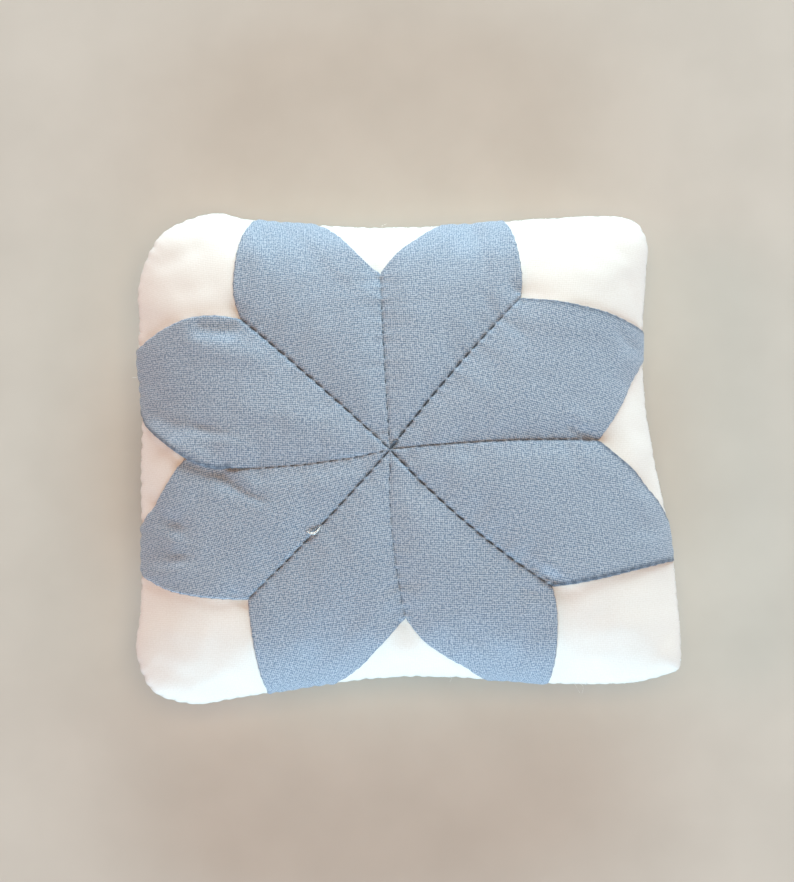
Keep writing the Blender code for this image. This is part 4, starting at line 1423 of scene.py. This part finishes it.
def make_band_half(name, side):
    """Half of the ribbed elastic, from under the rim seam to the middle of the cushion's underside."""
    settings = bpy.context.scene.pin_cushion_band
    half_width = (BAND_BOX[1].y - BAND_BOX[0].y) / 2
    thickness = BAND_BOX[1].z - BAND_BOX[0].z
    across = np.linspace(-1.0, 1.0, settings.ribs * 6 + 1)
    along = np.linspace(0.0, 1.0, 90)
    rib = np.abs(np.cos(across * settings.ribs * math.pi / 2)) ** 0.7
    round_edge = np.sqrt(np.maximum(0.0, 1 - np.abs(across) ** 24))
    half = thickness / 2 * round_edge - settings.rib_height * (1 - rib) * round_edge
    places, cloth = [], []
    for share in along:
        y = across * half_width
        ends = rim_radius(np.degrees(np.arctan2(y, side * np.full_like(y, HALF_LENGTH))))
        reach = np.sqrt(np.maximum(0.0, ends**2 - y**2)) - 1.3 * MM
        x = side * reach * (1 - share)
        crimp = 1.0 + 0.05 * np.sin(share * 58 * math.pi)
        middle = band_path(x, y, side)
        slope = (band_path(x + side * 0.05 * MM, y, side) - middle) / (0.05 * MM)
        tilt = 1.0 / np.sqrt(1 + slope**2)
        for face in (1, -1):
            places.append(np.column_stack([
                x - face * side * half * crimp * slope * tilt, y, middle + face * half * crimp * tilt
            ]))
            cloth.append(np.column_stack([np.abs(x) / MM, y / MM, np.full_like(y, face)]))
    rows, columns = len(along), len(across)

    def at(row, face, column):
        return (row * 2 + face) * columns + column

    faces = []
    for row in range(rows - 1):
        for column in range(columns - 1):
            upper = [at(row, 0, column), at(row + 1, 0, column), at(row + 1, 0, column + 1), at(row, 0, column + 1)]
            lower = [at(row, 1, column), at(row, 1, column + 1), at(row + 1, 1, column + 1), at(row + 1, 1, column)]
            faces.extend([upper, lower])
    for column in range(columns - 1):
        faces.append([at(0, 0, column), at(0, 0, column + 1), at(0, 1, column + 1), at(0, 1, column)])
        last = rows - 1
        faces.append([at(last, 0, column), at(last, 1, column), at(last, 1, column + 1), at(last, 0, column + 1)])
    for row in range(rows - 1):
        end = columns - 1
        faces.append([at(row, 0, 0), at(row, 1, 0), at(row + 1, 1, 0), at(row + 1, 0, 0)])
        faces.append([at(row, 0, end), at(row + 1, 0, end), at(row + 1, 1, end), at(row, 1, end)])
    obj = new_mesh_object(name, np.vstack(places), faces, material_named("elastic_woven"))
    give_vector(obj, "cloth_mm", np.vstack(cloth))
    mesh = bmesh.new()
    mesh.from_mesh(obj.data)
    bmesh.ops.remove_doubles(mesh, verts=mesh.verts, dist=0.01 * MM)
    bmesh.ops.recalc_face_normals(mesh, faces=mesh.faces)
    for edge in mesh.edges:
        # The halves meet here, so the corner of the cut stays crisp and the join doesn't show.
        edge.smooth = max(abs(vert.co.x) for vert in edge.verts) > 0.005 * MM
    mesh.to_mesh(obj.data)
    mesh.free()
    return obj


def make_band():
    """The wrist elastic, as two halves that meet in the middle, and the stitches that hold its ends."""
    for name, side, node in (("left", -1, "band_side_left"), ("right", 1, "band_side_right")):
        obj = make_band_half("elastic_" + name, side)
        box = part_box(node)
        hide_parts(node, *(["band_middle"] if side < 0 else []))
        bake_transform(obj)
        make_band_stitches(name, side, box)


def make_band_stitches(name, side, box):
    """A row of white stitches over the end of the elastic, tucked under the rim."""
    stitches = bpy.context.scene.pin_cushion_stitches
    runs = []
    count = int((BAND_BOX[1].y - BAND_BOX[0].y) / (1.7 * MM))
    for index in range(count + 1):
        y = BAND_BOX[0].y + (BAND_BOX[1].y - BAND_BOX[0].y) * index / count
        bearing = np.array([math.degrees(math.atan2(y, side * HALF_LENGTH))])
        shares = np.array([0.955, 0.968, 0.980, 0.990])
        lifts = np.array([1.25, 1.5, 1.15, 0.0]) * MM
        places, _ = cushion_point(np.repeat(bearing, 4), shares, False, lifts)
        runs.append((places, np.full(4, stitches.radius)))
    obj = tubes("band_stitches_" + name, runs, material_named("rim_thread_twisted"))
    settle(obj, "white_thread", "band_stitch_" + name)


# ---------------------------------------------------------------- stage


def make_camera():
    """A camera high over the cushion, tipped a little to the front."""
    aim = Vector((-1.6 * MM, 2.5 * MM, SEAM_HEIGHT))
    tip = math.radians(6.0)
    away = 350.0 * MM
    data = bpy.data.cameras.new("camera")
    data.sensor_fit = "HORIZONTAL"
    data.sensor_width = 36.0
    data.lens = 97.0
    data.clip_start = 0.01
    data.clip_end = 10.0
    camera = bpy.data.objects.new("camera", data)
    bpy.context.scene.collection.objects.link(camera)
    camera.location = aim + Vector((0.0, -math.sin(tip), math.cos(tip))) * away
    camera.rotation_euler = (tip, 0.0, 0.0)
    bpy.context.scene.camera = camera


def make_lamp(name, place, size, watts, colour):
    """A soft rectangular lamp that faces the cushion."""
    data = bpy.data.lights.new(name, "AREA")
    data.shape = "RECTANGLE"
    data.size, data.size_y = size
    data.energy = watts
    data.color = colour
    lamp = bpy.data.objects.new(name, data)
    bpy.context.scene.collection.objects.link(lamp)
    lamp.location = place
    aim = Vector((0.0, 0.0, SEAM_HEIGHT)) - Vector(place)
    lamp.rotation_euler = aim.to_track_quat("-Z", "Y").to_euler()


def make_stage():
    """A pale floor, soft lamps on all sides and the camera."""
    mesh = bmesh.new()
    bmesh.ops.create_grid(mesh, x_segments=8, y_segments=8, size=1.5)
    data = bpy.data.meshes.new("floor")
    mesh.to_mesh(data)
    mesh.free()
    floor = bpy.data.objects.new("floor", data)
    bpy.context.scene.collection.objects.link(floor)
    data.materials.append(material_named("floor_board_painted"))
    make_lamp("window_north", (0.12, 0.85, 0.26), (1.0, 0.36), 14.7, (0.64, 0.88, 0.99))
    make_lamp("window_south", (0.06, -0.85, 0.24), (1.0, 0.34), 11.3, (0.55, 0.82, 1.0))
    make_lamp("ceiling", (0.1, 0.0, 1.1), (0.8, 0.8), 5.9, (1.0, 0.77, 0.54))
    make_lamp("wall_east", (0.9, -0.1, 0.4), (0.5, 0.5), 1.3, (1.0, 0.45, 0.45))
    make_lamp("wall_west", (-0.9, 0.1, 0.4), (0.5, 0.5), 2.6, (1.0, 0.42, 0.30))
    world = bpy.data.worlds.new("room")
    bpy.context.scene.world = world
    world.use_nodes = True
    background = world.node_tree.nodes["Background"]
    background.inputs["Color"].default_value = (1.0, 0.95, 0.9, 1.0)
    background.inputs["Strength"].default_value = 0.03
    bpy.context.scene.view_settings.view_transform = "Standard"
    make_camera()


# ---------------------------------------------------------------- operators


class PINCUSHION_OT_stage(bpy.types.Operator):
    """Set up the floor, the lamps and the camera"""

    bl_idname = "pin_cushion.stage"
    bl_label = "Stage"

    def execute(self, context):
        make_stage()
        return {"FINISHED"}


class PINCUSHION_OT_stuffing(bpy.types.Operator):
    """Stuff the cushion and cover it with its top and back cloths"""

    bl_idname = "pin_cushion.stuffing"
    bl_label = "Stuffing and Covers"

    def execute(self, context):
        stuff_cushion(context.scene.pin_cushion_cloth)
        make_top_cloth()
        make_back_cloth()
        make_stuffing()
        return {"FINISHED"}


class PINCUSHION_OT_petals(bpy.types.Operator):
    """Lay the eight blue petals"""

    bl_idname = "pin_cushion.petals"
    bl_label = "Petals"

    def execute(self, context):
        for rank, name in enumerate(PETALS):
            make_petal(name, rank)
        return {"FINISHED"}


class PINCUSHION_OT_stitches(bpy.types.Operator):
    """Sew the seams, the petal edges, the centre knot and the rim"""

    bl_idname = "pin_cushion.stitches"
    bl_label = "Stitches"

    def execute(self, context):
        make_seam_stitches()
        make_edge_stitches()
        make_centre_knot()
        make_rim_stitches()
        make_loose_fibres()
        return {"FINISHED"}


class PINCUSHION_OT_band(bpy.types.Operator):
    """Add the elastic wrist band"""

    bl_idname = "pin_cushion.band"
    bl_label = "Wrist Band"

    def execute(self, context):
        make_band()
        return {"FINISHED"}


class PINCUSHION_OT_guard(bpy.types.Operator):
    """Give the hidden guard plate its board finish"""

    bl_idname = "pin_cushion.guard"
    bl_label = "Guard Plate"

    def execute(self, context):
        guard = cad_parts["pin_guard"]
        guard.data.materials.clear()
        guard.data.materials.append(material_named("grey_board_pressed"))
        return {"FINISHED"}


OPERATORS = (
    PINCUSHION_OT_stage,
    PINCUSHION_OT_stuffing,
    PINCUSHION_OT_petals,
    PINCUSHION_OT_stitches,
    PINCUSHION_OT_band,
    PINCUSHION_OT_guard,
)


class PINCUSHION_PT_panel(bpy.types.Panel):
    """Lists the pieces of the pin cushion"""

    bl_idname = "PINCUSHION_PT_panel"
    bl_label = "Pin Cushion"
    bl_space_type = "VIEW_3D"
    bl_region_type = "UI"
    bl_category = "Pin Cushion"

    def draw(self, context):
        for settings in SETTINGS:
            group = getattr(context.scene, settings)
            for name in group.__annotations__:
                self.layout.prop(group, name)
        for operator in OPERATORS:
            self.layout.operator(operator.bl_idname)


SETTINGS = {
    "pin_cushion_cloth": ClothSettings,
    "pin_cushion_stitches": StitchSettings,
    "pin_cushion_band": BandSettings,
}


def register():
    for name, group in SETTINGS.items():
        bpy.utils.register_class(group)
        setattr(bpy.types.Scene, name, PointerProperty(type=group))
    for operator in OPERATORS:
        bpy.utils.register_class(operator)
    bpy.utils.register_class(PINCUSHION_PT_panel)


def unregister():
    bpy.utils.unregister_class(PINCUSHION_PT_panel)
    for operator in reversed(OPERATORS):
        bpy.utils.unregister_class(operator)
    for name, group in SETTINGS.items():
        delattr(bpy.types.Scene, name)
        bpy.utils.unregister_class(group)


def main():
    register()
    bpy.ops.pin_cushion.stage()
    bpy.ops.pin_cushion.stuffing()
    bpy.ops.pin_cushion.petals()
    bpy.ops.pin_cushion.stitches()
    bpy.ops.pin_cushion.band()
    bpy.ops.pin_cushion.guard()


if __name__ == "__main__":
    main()
